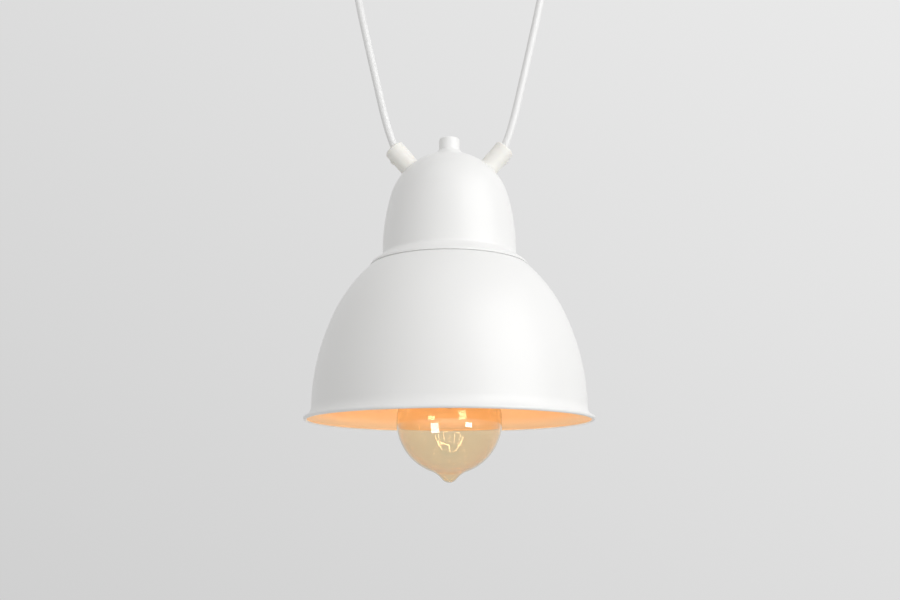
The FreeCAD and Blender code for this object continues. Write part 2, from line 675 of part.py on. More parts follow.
def lampholder():
    """Screw lampholder: skirt, cap on the threaded tube, ceramic insert, thread shell and contact."""
    inside = "dim.holder_radius - dim.holder_wall"
    skirt = turned("lampholder_skirt", [
        (inside, "0"),
        ("dim.holder_radius", "0"),
        ("dim.holder_radius", "dim.skirt_height"),
        (inside, "dim.skirt_height"),
    ])
    place(skirt, above_rim("dim.holder_mouth"))
    shoulder = "dim.holder_cap_height - dim.holder_boss_height"
    cap = turned("lampholder_cap", [
        ("dim.tube_radius + dim.thread_gap", shoulder + " - dim.holder_wall"),
        ("dim.holder_boss_radius", shoulder + " - dim.holder_wall"),
        (inside, "(%s) / 2" % shoulder),
        (inside, "0"),
        ("dim.holder_radius", "0"),
        ("dim.holder_radius", "(%s) / 2" % shoulder),
        ("dim.holder_boss_radius", shoulder),
        ("dim.holder_boss_radius", "dim.holder_cap_height"),
        ("dim.tube_radius + dim.thread_gap", "dim.holder_cap_height"),
    ])
    drilled(cap, "XY_Plane", "core_holes", [("dim.core_entry", "0"), ("-dim.core_entry", "0")],
            "dim.core_pitch + dim.core_radius + dim.gap")
    place(cap, above_rim("dim.holder_joint"))
    insert = turned("lampholder_insert", [
        ("dim.contact_radius / 2 + dim.gap", "0"),
        (inside + " - dim.gap", "0"),
        (inside + " - dim.gap", "dim.insert_height"),
        ("dim.contact_radius / 2 + dim.gap", "dim.insert_height"),
    ])
    place(insert, above_rim("dim.holder_joint - dim.insert_height"))
    shell_height = "dim.skirt_height - dim.insert_height - 2 * dim.shell_wall"
    shell = turned("thread_shell", [
        ("dim.shell_radius", "0"),
        ("dim.shell_radius + dim.shell_wall", "0"),
        ("dim.shell_radius + dim.shell_wall", shell_height),
        ("dim.shell_radius", shell_height),
    ])
    place(shell, above_rim("dim.holder_joint - dim.insert_height - (%s)" % shell_height))
    contact = turned("centre_contact", [
        ("0", "0"),
        ("dim.contact_radius", "0"),
        ("dim.contact_radius", "dim.skirt_height - dim.insert_height - dim.seat_depth"),
        ("dim.contact_radius / 2", "dim.skirt_height - dim.insert_height - dim.seat_depth"),
        ("dim.contact_radius / 2", "dim.skirt_height - dim.seat_depth"),
        ("0", "dim.skirt_height - dim.seat_depth"),
    ])
    place(contact, above_rim("dim.holder_mouth + dim.seat_depth"))


# ---------------------------------------------------------------- bulb


def bulb():
    """Globe bulb with a drawn-out tip: heights are from the globe's centre."""
    glass = turned("bulb_glass", bulb_side("0") + turned_back(bulb_side("dim.glass_wall")))
    shell_top = "dim.base_start + dim.base_length"
    base = turned("bulb_base", [
        ("dim.neck_glass_radius + dim.gap / 2", "dim.base_start"),
        ("dim.base_radius", "dim.base_start"),
        ("dim.base_radius", shell_top),
        ("dim.base_hole", shell_top),
        ("dim.base_hole", shell_top + " - dim.shell_wall"),
        ("dim.neck_glass_radius + dim.gap / 2", shell_top + " - dim.shell_wall"),
    ])
    insulator = turned("bulb_insulator", [
        ("0", shell_top),
        ("dim.insulator_radius", shell_top),
        ("dim.contact_radius", shell_top + " + dim.insulator_height"),
        ("0", shell_top + " + dim.insulator_height"),
    ])
    contact = turned("bulb_contact", ring("0", "dim.contact_radius", "dim.contact_height"))
    stem_top = "dim.neck_centre_z"
    stem = turned("bulb_stem", [
        ("0", "dim.rod_tip"),
        ("dim.rod_radius", "dim.rod_tip"),
        ("dim.rod_radius", "dim.press_height"),
        ("dim.press_radius", "dim.press_height"),
        ("dim.press_radius", "dim.press_height + 2 * dim.press_radius"),
        ("dim.neck_glass_radius - dim.glass_wall - dim.gap", stem_top),
        ("dim.neck_glass_radius - dim.glass_wall - dim.gap", stem_top + " + dim.glass_wall"),
        ("0", stem_top + " + dim.glass_wall"),
    ])
    for piece in (glass, base, insulator, stem):
        place(piece, above_rim("dim.bulb_centre"))
    place(contact, above_rim("dim.bulb_centre + dim.bulb_top - dim.contact_height"))
    filament()


def bulb_side(inset):
    """The glass from its tip to the neck, drawn in by inset."""
    globe = "(dim.globe_radius - %s)" % inset
    return [
        ("0", "dim.pip_z - dim.pip_radius + %s" % inset, "dim.pip_radius - %s" % inset, "left"),
        ("dim.pip_arc_x * dim.tip_share - %s * dim.pip_arc_x / (dim.pip_radius + dim.pip_arc)" % inset,
         "dim.pip_z + (dim.pip_arc_z - dim.pip_z) * (dim.pip_radius - %s)"
         " / (dim.pip_radius + dim.pip_arc)" % inset,
         "dim.pip_arc + %s" % inset, "right"),
        ("dim.pip_arc_x * dim.pip_share * %s / dim.globe_radius" % globe,
         "dim.pip_arc_z * dim.pip_share * %s / dim.globe_radius" % globe, globe, "left"),
        (globe, "0", globe, "left"),
        ("dim.neck_centre_x * dim.neck_share * %s / dim.globe_radius" % globe,
         "dim.neck_centre_z * dim.neck_share * %s / dim.globe_radius" % globe,
         "dim.neck_arc + %s" % inset, "right"),
        ("dim.neck_glass_radius - %s" % inset, "dim.neck_centre_z"),
        ("dim.neck_glass_radius - %s" % inset, "dim.neck_centre_z + dim.neck_length"),
    ]


def filament():
    """Squirrel-cage filament: one wire up and down round the rod, and the wires that hold it."""
    legs = int(number("dim.cage_legs"))
    centre = V(0, 0, number("dim.bulb_centre - dim.rim_drop"))
    top = centre + UP * number("dim.cage_top")
    bottom = centre + UP * number("dim.cage_bottom")
    spokes = [
        V(math.cos(angle), math.sin(angle), 0)
        for angle in (2 * math.pi * (leg + 0.5) / legs for leg in range(legs))
    ]
    cage = number("dim.cage_radius")
    corners = []
    for leg, spoke in enumerate(spokes):
        ends = (bottom, top) if leg % 2 == 0 else (top, bottom)
        corners += [ends[0] + spoke * cage, ends[1] + spoke * cage]
    add_wire("filament", corners, number("dim.filament_radius"), CAGE_BEND)

    thick = number("dim.support_radius")
    rod = number("dim.rod_radius")
    reach = cage * math.cos(math.pi / legs) - number("dim.filament_radius")
    wires = []
    for leg in range(legs - 1):
        middle = (spokes[leg] + spokes[leg + 1]).normalize()
        level = top if leg % 2 == 0 else bottom
        wires.append(Part.makeCylinder(thick, reach - rod, level + middle * rod, middle))
    for spoke in (spokes[0], spokes[-1]):
        start = centre + UP * (number("dim.press_height") - thick) + spoke * (rod + 2 * thick)
        lead = bottom + spoke * (cage - thick - number("dim.filament_radius")) - start
        wires.append(Part.makeCylinder(thick, lead.Length, start, lead))
    feature_of("filament_supports", Part.makeCompound(wires))


# ---------------------------------------------------------------- cords


def cords():
    """The two free cords, their ends in the head's grips and their ends in the canopy."""
    drop = number("dim.rim_drop")
    radius = number("dim.cord_radius")
    angle = math.radians(number("dim.grip_angle"))
    along_grip = V(math.sin(angle), 0, math.cos(angle))
    dome = V(0, 0, number("dim.dome_centre") - drop)
    mouth = dome + along_grip * number("dim.dome_radius + dim.grip_length - dim.mouth_depth")
    spread = number("dim.cord_spread")
    upper = V(spread, 0, number("dim.grip_end_z"))
    free = [mouth, mouth + along_grip * EXIT_RUN]
    free += [V(x, 0, height - drop) for x, height in CORD_POINTS]
    free += [upper - UP * UPPER_RUN, upper]

    in_cap = [mouth, dome + along_grip * TAIL_TURN]
    in_cap += [V(x, 0, height - drop) for x, height in TAIL_POINTS]
    cut_end = dome + along_grip * TAIL_TURN
    stub_top = number("dim.stub_length - dim.canopy_height") + SHEATH_BEYOND_STUB

    for side, sign in (("right", 1), ("left", -1)):
        route = [V(sign * point.x, 0, point.z) for point in free]
        add_wire("cord_" + side, route, radius)
        straight_up = Part.makeCylinder(radius, stub_top - upper.z, V(sign * spread, 0, upper.z), UP)
        feature_of("ceiling_cord_end_" + side, straight_up)
    add_wire("head_cord_end_right", in_cap, radius)
    start = V(-mouth.x, 0, mouth.z)
    end = V(-cut_end.x, 0, cut_end.z)
    feature_of("head_cord_end_left", Part.makeCylinder(radius, (end - start).Length, start, end - start))

    sheath_end = in_cap[-1]
    holder_entry = V(number("dim.core_entry"), 0, number("dim.holder_joint") - drop)
    ceiling_end = V(spread, 0, stub_top)
    pitch = number("dim.core_pitch")
    port = number("dim.port_pitch")
    thick = number("dim.core_radius")
    for row, colour in ((-1, "brown"), (0, "green_yellow"), (1, "blue")):
        in_head = [sheath_end, V(HEAD_CORE_BEND[0], 0, HEAD_CORE_BEND[1] - drop),
                   holder_entry + UP * HEAD_CORE_DROP, holder_entry]
        aside = V(0, row * pitch, 0)
        add_wire("head_core_" + colour, [p + aside for p in in_head], thick)
        run = [ceiling_end] + [ceiling_end - V(x, 0, 0) + UP * z for x, z in CEILING_CORE_STEPS]
        level = run[-1].z
        run = [p + aside for p in run]
        run.append(V(number("dim.bracket_half") * CORES_FAN_OUT, row * pitch, level + row))
        run.append(V(number("dim.block_width"), row * port, number("dim.port_z")))
        run.append(V(number("dim.block_width / 2"), row * port, number("dim.port_z")))
        add_wire("ceiling_core_" + colour, run, thick)


# ---------------------------------------------------------------- ceiling fitting


def canopy():
    """Long canopy with round ends, open towards the ceiling."""
    body = new_body("ceiling_canopy")
    sketch = sketch_on(body, "XY_Plane", "canopy_plan")
    slot_outline(sketch, "dim.cord_spread", "dim.canopy_width / 2")
    pad = padded(body, sketch, "dim.canopy_height", reversed_way=True)
    doc.recompute()
    lower = number("-dim.canopy_height")
    edges = [
        "Edge%d" % (index + 1)
        for index, edge in enumerate(pad.Shape.Edges)
        if abs(edge.BoundBox.ZMax - lower) < 1e-3
    ]
    fillet = body.newObject("PartDesign::Fillet", "canopy_lower_edge")
    fillet.Base = (pad, edges)
    fillet.setExpression("Radius", "dim.canopy_rounding")
    doc.recompute()
    top = next(
        "Face%d" % (index + 1)
        for index, face in enumerate(fillet.Shape.Faces)
        if face.BoundBox.ZMin > -1e-3
    )
    shell = body.newObject("PartDesign::Thickness", "canopy_shell")
    shell.Base = (fillet, [top])
    shell.Reversed = True
    shell.Join = 0
    shell.setExpression("Value", "dim.canopy_wall")
    doc.recompute()
    drilled(body, "XY_Plane", "grip_holes", [("dim.cord_spread", "0"), ("-dim.cord_spread", "0")],
            "dim.stub_hole")
    drilled(body, "XY_Plane", "screw_holes",
            [("dim.canopy_screw_spread", "0"), ("-dim.canopy_screw_spread", "0")],
            "dim.canopy_screw_radius + dim.gap")
    place(body)


def slot_outline(sketch, half_length, radius):
    """A slot round the origin: two half circles and two straight sides along X."""
    c = number(half_length)
    r = number(radius)
    quarter = math.pi / 2
    sketch.addGeometry(Part.ArcOfCircle(Part.Circle(V(c, 0, 0), UP, r), -quarter, quarter), False)
    sketch.addGeometry(Part.LineSegment(V(c, r, 0), V(-c, r, 0)), False)
    sketch.addGeometry(Part.ArcOfCircle(Part.Circle(V(-c, 0, 0), UP, r), quarter, 3 * quarter), False)
    sketch.addGeometry(Part.LineSegment(V(-c, -r, 0), V(c, -r, 0)), False)
    for index in range(4):
        sketch.addConstraint(Sketcher.Constraint("Coincident", index, 2, (index + 1) % 4, 1))
    for index, sign in ((0, ""), (2, "-")):
        side = c if index == 0 else -c
        sketch.addConstraint(Sketcher.Constraint("PointOnObject", index, 3, -1))
        constrain(sketch, Sketcher.Constraint("Radius", index, r), radius)
        for point in (1, 2, 3):
            constrain(sketch, Sketcher.Constraint("DistanceX", -1, 1, index, point, side),
                      sign + half_length)


def bracket():
    """Folded steel strap screwed to the ceiling, its feet on the canopy's floor."""
    body = new_body("mounting_bracket")
    sketch = sketch_on(body, "XZ_Plane", "bracket_outline")
    gauge = "dim.bracket_gauge"
    toe = "dim.bracket_half + dim.bracket_foot"
    right = [
        ("dim.bracket_half", "0"),
        ("dim.bracket_half", "dim.canopy_floor + " + gauge),
        (toe, "dim.canopy_floor + " + gauge),
        (toe, "dim.canopy_floor"),
        ("dim.bracket_half - " + gauge, "dim.canopy_floor"),
        ("dim.bracket_half - " + gauge, "-" + gauge),
    ]
    left = [("-(%s)" % x, z) for x, z in reversed(right)]
    closed_outline(sketch, right + left)
    padded(body, sketch, "dim.bracket_width", both_ways=True)
    doc.recompute()
    drilled(body, "XY_Plane", "ceiling_holes",
            [("dim.ceiling_hole_spread", "0"), ("-dim.ceiling_hole_spread", "0")],
            "dim.ceiling_hole_radius")
    drilled(body, "XY_Plane", "foot_holes",
            [("dim.canopy_screw_spread", "0"), ("-dim.canopy_screw_spread", "0")],
            "dim.canopy_screw_radius + dim.gap")
    drilled(body, "YZ_Plane", "wire_pass", [("0", "dim.port_z")], "dim.wire_pass_radius")
    place(body)


def canopy_screws():
    """Two domed screws through the canopy's floor into the feet of the bracket."""
    shank = "dim.canopy_wall + dim.bracket_gauge * 2"
    for side, sign in (("right", ""), ("left", "-")):
        screw = turned("canopy_screw_" + side, [
            ("0", "-dim.canopy_screw_head / 2"),
            ("dim.canopy_screw_head / 2", "-dim.canopy_screw_head / 2",
             "dim.canopy_screw_dome", "left"),
            ("dim.canopy_screw_head", "0"),
            ("dim.canopy_screw_radius", "0"),
            ("dim.canopy_screw_radius", shank),
            ("0", shank),
        ])
        place(screw, "-dim.canopy_height", sign + "dim.canopy_screw_spread")


def terminal_block():
    """Three-way terminal block under the bracket, with its clamping screws."""
    body = new_body("terminal_block")
    sketch = sketch_on(body, "XZ_Plane", "block_section")
    top = "-dim.bracket_gauge"
    foot = "dim.block_width / 2"
    shoulder = "dim.block_width / 4"
    closed_outline(sketch, [
        ("-" + foot, top),
        ("-" + foot, top + " - dim.block_side"),
        ("-" + shoulder, top + " - dim.block_height"),
        (shoulder, top + " - dim.block_height"),
        (foot, top + " - dim.block_side"),
        (foot, top),
    ])
    padded(body, sketch, "dim.block_length", both_ways=True)
    doc.recompute()
    rows = [("dim.port_pitch * %d" % row, "dim.port_z") for row in (-1, 0, 1)]
    drilled(body, "YZ_Plane", "ports", rows, "dim.port_radius")
    place(body)
    for row, name in ((-1, "near"), (0, "middle"), (1, "far")):
        screw = turned("terminal_screw_" + name, ring("0", "dim.port_radius", "dim.canopy_wall"))
        place(screw, "-dim.bracket_gauge - dim.block_height - dim.canopy_wall")
        screw.setExpression("Placement.Base.y", "dim.port_pitch * %d" % row)


# ---------------------------------------------------------------- the whole lamp


def build():
    fill_sheet()
    lampshade()
    cap_dome()
    head_grips()
    centre_stack()
    lampholder()
    bulb()
    cords()
    canopy()
    bracket()
    canopy_screws()
    terminal_block()
    ceiling_grips()


def export():
    doc.recompute()
    for item in doc.Objects:
        if "Invalid" in item.State or "Error" in item.State:
            raise RuntimeError(item.Name + " failed")
    os.makedirs("parts", exist_ok=True)
    pieces = [
        item for item in doc.Objects
        if item.isDerivedFrom("PartDesign::Body") or item.TypeId == "Part::Feature"
    ]
    for piece in pieces:
        if piece.Shape.isNull() or not piece.Shape.isValid():
            raise RuntimeError(piece.Label + " has no valid shape")
        piece.Shape.exportStep("parts/%s.step" % piece.Label)
    print(len(pieces), "pieces")


build()
export()
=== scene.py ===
"""Looks of the rise and fall pendant: a white spun-metal bell shade hung on two cords.

Metres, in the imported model's frame: the ceiling is z = 0 and the lamp hangs below it, with X
along the two cords. Heights in the lamp's head are counted up from the shade's rim.
"""

import math

import bmesh
import bpy
from mathutils import Matrix, Vector


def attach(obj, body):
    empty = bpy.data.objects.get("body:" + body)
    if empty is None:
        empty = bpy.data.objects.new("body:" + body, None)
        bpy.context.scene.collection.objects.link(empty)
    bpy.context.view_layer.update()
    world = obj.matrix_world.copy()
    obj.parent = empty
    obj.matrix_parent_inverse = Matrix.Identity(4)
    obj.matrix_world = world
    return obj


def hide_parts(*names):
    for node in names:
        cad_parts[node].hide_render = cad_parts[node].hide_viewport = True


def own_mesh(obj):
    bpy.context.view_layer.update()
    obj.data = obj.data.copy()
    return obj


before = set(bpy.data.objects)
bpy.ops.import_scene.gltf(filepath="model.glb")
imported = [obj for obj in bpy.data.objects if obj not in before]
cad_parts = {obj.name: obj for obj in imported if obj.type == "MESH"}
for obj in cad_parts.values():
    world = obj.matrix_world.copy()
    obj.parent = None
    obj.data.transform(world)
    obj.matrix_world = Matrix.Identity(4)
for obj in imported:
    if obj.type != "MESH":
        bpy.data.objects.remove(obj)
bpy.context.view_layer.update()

MM = 0.001
RIM_DROP = 484 * MM

# Sizes in millimetres and angles in degrees. Heights are above the shade's rim unless said otherwise.
# shade
WALL = 1.2
RIM_RADIUS = 130.0
BEAD_RADIUS = 1.7
SIDE_RADIUS = 123.4
FLARE_HEIGHT = 12.0
SHADE_TURN = 24.0
SIDE_ARC = 204.97
SHOULDER_ARC = 140.05
SHADE_HEIGHT = 140.6
NECK_ROUNDING = 0.8
TUBE_HOLE = 5.2
CORD_HOLE_SPREAD = 22.0
CORD_HOLE_RADIUS = 6.0
TOP_INSIDE = 30.0
PAINTED_GLOW_START = 33  # facets of the rolled rim, from the outside, before the painted bulb glow of the inside starts

# cap; its foot, crease and straight are above the seam
NECK_RADIUS = 73.5
CAP_RADIUS = 61.8
CAP_STRAIGHT = 19.4
FOOT_ROUNDING = 5.0
FOOT_SLOPE = 36.0
CREASE_RADIUS = 3.0
SEAM_HEIGHT = 0.9
SEAM_DEPTH = 1.5
SEAM_INSIDE = 71.3
SEAM_LIP = 0.35
SEAM_EDGE = 0.1
INNER_FOOT = 3.0
DOME_RADIUS = 57.0
DOME_CENTRE = 195.0

# cord grips and their side screws, out from the grip's seat
GRIP_ANGLE = 40.0
GRIP_RADIUS = 9.75
GRIP_LENGTH = 25.6
GRIP_CHAMFER = 1.3
MOUTH_DEPTH = 7.6
MOUTH_RADIUS = 7.0
CORD_BORE = 3.8
STUB_RADIUS = 5.0
STUB_LENGTH = 10.0
STUB_TURNS = 9
GRIP_EDGE = 0.7
MOUTH_EDGE = 0.35
GRIP_SCREW_HEIGHT = 15.5
SCREW_HOLE = 2.2
SCREW_SHANK = 2.0
SCREW_POINT = 1.6
SCREW_START = 3.9
SCREW_HEAD = 2.75
SCREW_DOME = 4.1
SLOT_SIZE = (0.9, 8.0, 1.6)
CANOPY_HEIGHT = 26

# knob and collar, above the dome
COLLAR_RISE = 3.2
COLLAR_RADIUS = 14.3
COLLAR_TOP = 11.0
COLLAR_EDGE = 0.4
KNOB_GAP = 0.03
KNOB_HEIGHT = 12.4
KNOB_RADIUS = 9.8
KNOB_EDGE = 0.3
KNOB_ROUNDING = 1.8
KNOB_BORE = 5.02
KNOB_BORE_DEPTH = 8.5

# bulb, from the globe's centre, which is this far above the rim
BULB_CENTRE = 0.5
GLOBE_RADIUS = 47.5
GLASS_WALL = 0.9
GLASS_NECK = 12.4
NECK_HOLLOW = 22.0
NECK_LENGTH = 5.4
TIP_DROP = 7.0
TIP_RADIUS = 8.5
TIP_HOLLOW = 20.0
THREAD_START = 61.2
THREAD_LENGTH = 19.5
THREAD_RADIUS = 13.15
THREAD_DEPTH = 0.75
THREAD_PITCH = 3.6
THREAD_RINGS = 100
THREAD_FADE = 12
THREAD_SIDES = 96
BASE_ENDS = ((12.55, 61.0), (10.6, 81.0))

# cords
CORD_RADIUS = 3.6
CORD_SIDES = 32
MOUTH = GRIP_LENGTH - MOUTH_DEPTH
CORD_POINTS = [(54.1, 264.3), (60.0, 282.0), (66.9, 310.5), (90.4, 415.0)]
UPPER_END = (91.9, 440.0)
EXIT_RUN = 3.5
UPPER_RUN = 7

# light and backdrop: levels, a slope along X, Y and Z, metres and watts
AMBIENT = 0.61
BACKDROP_LEVEL = 0.695
BACKDROP_SLOPE = (0.125, 0.0, 0.165)
ROOM_BEHIND = 1.4
FLOOR_RADIUS = 5.5
FLOOR_CLEAR = 1.0
FLOOR_HEIGHT = -2.1
LAMP_GLOW = 0.22
LAMP_RADIUS = 0.055
LIGHT_DISTANCE = 1.9
LIGHT_AIM = 60

# name, degrees right of the camera, degrees up, width and height, watts, lights matt surfaces
SOFTBOXES = (
    ("key_right", 52, 26, (1.8, 1.8), 20.4, True),
    ("window_left", -32, -19.5, (0.58, 0.68), 15.0, False),
    ("window_right", 42.5, -12.5, (0.48, 0.30), 8.5, False),
)

# camera, in metres and degrees
CAMERA_PLACE = (0.0006, -0.9013, -0.5577)
CAMERA_RISE = 11.61
CAMERA_LENS = 40
CAMERA_SENSOR = 36


def above_rim(height):
    """A height over the shade's rim, in millimetres, as a height in the frame."""
    return height * MM - RIM_DROP


# ---------------------------------------------------------------- node helpers


class Nodes:
    """A material's node tree with short calls to add and link nodes."""

    def __init__(self, name):
        self.material = bpy.data.materials.new(name)
        self.material.use_nodes = True
        self.tree = self.material.node_tree
        self.shader = self.tree.nodes["Principled BSDF"]

    def add(self, kind, **settings):
        """A new node with its settings."""
        node = self.tree.nodes.new(kind)
        for key, value in settings.items():
            setattr(node, key, value)
        return node

    def link(self, output, socket):
        self.tree.links.new(output, socket)

    def place(self, scale=(1, 1, 1), turn=(0, 0, 0)):
        """Object coordinates, scaled and turned."""
        coordinates = self.add("ShaderNodeTexCoord")
        mapping = self.add("ShaderNodeMapping")
        mapping.inputs["Scale"].default_value = scale
        mapping.inputs["Rotation"].default_value = turn
        self.link(coordinates.outputs["Object"], mapping.inputs["Vector"])
        return mapping.outputs["Vector"]

    def noise(self, scale, detail=2.0, roughness=0.5, vector=None):
        """Noise over the object, or over a vector."""
        node = self.add("ShaderNodeTexNoise")
        node.inputs["Scale"].default_value = scale
        node.inputs["Detail"].default_value = detail
        node.inputs["Roughness"].default_value = roughness
        self.link(vector or self.place(), node.inputs["Vector"])
        return node.outputs["Fac"]

    def ramp(self, value, stops):
        """A colour ramp through (position, colour) stops."""
        node = self.add("ShaderNodeValToRGB")
        elements = node.color_ramp.elements
        while len(elements) < len(stops):
            elements.new(0.5)
        for element, (position, colour) in zip(elements, stops):
            element.position = position
            element.color = (*colour, 1)
        self.link(value, node.inputs["Fac"])
        return node.outputs["Color"]

    def spread(self, value, low, high, source=(0, 1)):
        """The value mapped from source to the range low to high."""
        node = self.add("ShaderNodeMapRange")
        node.inputs["From Min"].default_value = source[0]
        node.inputs["From Max"].default_value = source[1]
        node.inputs["To Min"].default_value = low
        node.inputs["To Max"].default_value = high
        self.link(value, node.inputs["Value"])
        return node.outputs["Result"]

    def mixed(self, share, colour, other):
        """A node's colour mixed by a share with a constant one."""
        node = self.add("ShaderNodeMix", data_type="RGBA")
        self.link(share, node.inputs[0])
        self.link(colour, node.inputs[6])
        node.inputs[7].default_value = (*other, 1)
        return node.outputs[2]

    def bump(self, height, strength, distance, after=None):
        """Bumps the surface by a height, on top of an earlier bump if one is given."""
        node = self.add("ShaderNodeBump")
        node.inputs["Strength"].default_value = strength
        node.inputs["Distance"].default_value = distance
        self.link(height, node.inputs["Height"])
        if after:
            self.link(after, node.inputs["Normal"])
        self.link(node.outputs["Normal"], self.shader.inputs["Normal"])
        return node.outputs["Normal"]

    def set(self, **values):
        """Constant shader inputs, with underscores for the spaces in their names."""
        for key, value in values.items():
            socket = self.shader.inputs[key.replace("_", " ")]
            if hasattr(socket.default_value, "__len__"):
                value = tuple(value) + (1,) * (len(socket.default_value) - len(value))
            socket.default_value = value
        return self.material


# ---------------------------------------------------------------- materials


def powder_coat(name, light, dark, roughness=0.36):
    """Satin powder coat: fine orange peel, and a very faint drift of tone."""
    n = Nodes(name)
    drift = n.noise(9, 3)
    n.link(n.ramp(drift, [(0.3, dark), (0.7, light)]), n.shader.inputs["Base Color"])
    peel = n.noise(1500, 2, 0.55)
    n.link(n.spread(peel, roughness - 0.03, roughness + 0.05), n.shader.inputs["Roughness"])
    waves = n.bump(n.noise(120, 1), 0.06, 0.0006)
    n.bump(peel, 0.10, 0.00012, waves)
    return n.set(Coat_Weight=0.10, Coat_Roughness=0.22)


def painted_bulb_glow():
    """The shade's white inside with the lit bulb's warm glow painted on as colour: apricot, deepest towards
    the top and paler towards the rim.
    """
    n = Nodes("painted_bulb_glow")
    coordinates = n.add("ShaderNodeTexCoord")
    split = n.add("ShaderNodeSeparateXYZ")
    n.link(coordinates.outputs["Object"], split.inputs[0])
    rise = n.spread(split.outputs["Z"], 0, 1, (above_rim(0), above_rim(140)))
    # painted light: the amber glow of the lit bulb on the white inside, deeper towards the top and paler
    # towards the rim
    stops = [(0.0, (0.95, 0.68, 0.43)), (0.35, (0.94, 0.58, 0.28)), (1.0, (0.90, 0.46, 0.18))]
    colour = n.ramp(rise, stops)
    grain = n.noise(900, 2)
    n.link(n.mixed(n.spread(grain, 0, 0.06), colour, (1.0, 0.75, 0.5)), n.shader.inputs["Base Color"])
    n.link(n.spread(grain, 0.42, 0.52), n.shader.inputs["Roughness"])
    n.bump(grain, 0.12, 0.00015)
    return n.material


def nylon(name, light, dark):
    """Moulded nylon: matte, slightly waxy, with faint flow marks."""
    n = Nodes(name)
    n.link(n.ramp(n.noise(60, 4, 0.6), [(0.35, dark), (0.65, light)]), n.shader.inputs["Base Color"])
    grain = n.noise(2400, 2)
    n.link(n.spread(grain, 0.40, 0.52), n.shader.inputs["Roughness"])
    n.bump(grain, 0.15, 0.0001)
    return n.set(Subsurface_Weight=0.12, Subsurface_Scale=0.002, Subsurface_Radius=(1.0, 0.8, 0.6))


def sheath(name, light, dark):
    """Smooth extruded sheath with faint lengthwise streaks."""
    n = Nodes(name)
    streaks = n.noise(30, 3, 0.5, n.place((40, 40, 3)))
    n.link(n.ramp(streaks, [(0.3, dark), (0.7, light)]), n.shader.inputs["Base Color"])
    fine = n.noise(1800, 2)
    n.link(n.spread(fine, 0.36, 0.46), n.shader.inputs["Roughness"])
    n.bump(fine, 0.08, 0.0001)
    return n.set(Coat_Weight=0.08, Coat_Roughness=0.3)


def metal(name, light, dark, roughness):
    """Turned or plated metal: tone drift, fine tool marks."""
    n = Nodes(name)
    n.link(n.ramp(n.noise(160, 3, 0.6), [(0.3, dark), (0.7, light)]), n.shader.inputs["Base Color"])
    marks = n.noise(14, 3, 0.6, n.place((60, 60, 60)))
    n.link(n.spread(marks, roughness - 0.08, roughness + 0.08), n.shader.inputs["Roughness"])
    n.bump(marks, 0.1, 0.0001)
    return n.set(Metallic=1.0)


def resin(name, light, dark, roughness=0.42):
    """Moulded resin with a fine spark-eroded texture."""
    n = Nodes(name)
    n.link(n.ramp(n.noise(40, 3), [(0.35, dark), (0.65, light)]), n.shader.inputs["Base Color"])
    grain = n.noise(2600, 2)
    n.link(n.spread(grain, roughness - 0.06, roughness + 0.06), n.shader.inputs["Roughness"])
    n.bump(grain, 0.25, 0.00012)
    return n.material


def glass(name, tint, roughness=0.0):
    """Clear glass with faint blown waves."""
    n = Nodes(name)
    n.bump(n.noise(22, 1), 0.05, 0.0008)
    return n.set(Base_Color=tint, Transmission_Weight=1.0, Roughness=roughness, IOR=1.46)


def glowing(name, colour, strength):
    """A wire that glows, a little brighter along its coils."""
    n = Nodes(name)
    wave = n.noise(1800, 1)
    n.link(n.spread(wave, strength * 0.8, strength * 1.2), n.shader.inputs["Emission Strength"])
    return n.set(Base_Color=colour, Emission_Color=colour, Roughness=0.5)


WHITE_COAT = powder_coat("white_powder_coat", (0.885, 0.885, 0.88), (0.87, 0.87, 0.865))
# painted light: the shade's white inside coloured with the lit bulb's warm glow
PAINTED_BULB_GLOW = painted_bulb_glow()
IVORY = nylon("ivory_nylon", (0.90, 0.89, 0.85), (0.875, 0.86, 0.815))
SHEATH = sheath("white_sheath", (0.86, 0.86, 0.86), (0.83, 0.83, 0.83))
ZINC = metal("zinc_plate", (0.66, 0.66, 0.64), (0.52, 0.52, 0.52), 0.34)
BRASS = metal("brass", (0.83, 0.62, 0.30), (0.74, 0.52, 0.24), 0.26)
BLACK_RESIN = resin("black_resin", (0.030, 0.030, 0.032), (0.020, 0.020, 0.022))
CERAMIC = resin("ceramic", (0.84, 0.82, 0.77), (0.80, 0.77, 0.71), 0.5)
BLOCK_RESIN = resin("block_resin", (0.80, 0.80, 0.76), (0.76, 0.76, 0.71), 0.4)
AMBER_GLASS = glass("amber_glass", (0.955, 0.855, 0.67))
CLEAR_GLASS = glass("clear_glass", (0.98, 0.98, 0.96), 0.02)
GLOW = glowing("filament_glow", (1.0, 0.80, 0.50), 30)
CORES = {
    "brown": resin("core_brown", (0.20, 0.085, 0.035), (0.15, 0.06, 0.025), 0.34),
    "blue": resin("core_blue", (0.03, 0.15, 0.50), (0.02, 0.11, 0.42), 0.34),
    "green_yellow": resin("core_green_yellow", (0.55, 0.62, 0.06), (0.12, 0.36, 0.06), 0.34),
}


# ---------------------------------------------------------------- mesh helpers


def mesh_object(name, mesh, body, materials):
    """Links a mesh as a piece that rides on a body and takes its finish from a slot."""
    piece = bpy.data.objects.new(name, mesh)
    bpy.context.scene.collection.objects.link(piece)
    for material in materials:
        mesh.materials.append(material)
    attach(piece, body)
    return piece


def arc(centre, radius, start, end, steps):
    """Points on an arc, (x, z) in millimetres, angles in degrees from +X."""
    points = []
    for step in range(steps + 1):
        angle = math.radians(start + (end - start) * step / steps)
        points.append((centre[0] + radius * math.cos(angle), centre[1] + radius * math.sin(angle)))
    return points


def along(start, end, steps):
    """Points on a straight line, both ends included."""
    return [(start[0] + (end[0] - start[0]) * s / steps, start[1] + (end[1] - start[1]) * s / steps)
            for s in range(steps + 1)]


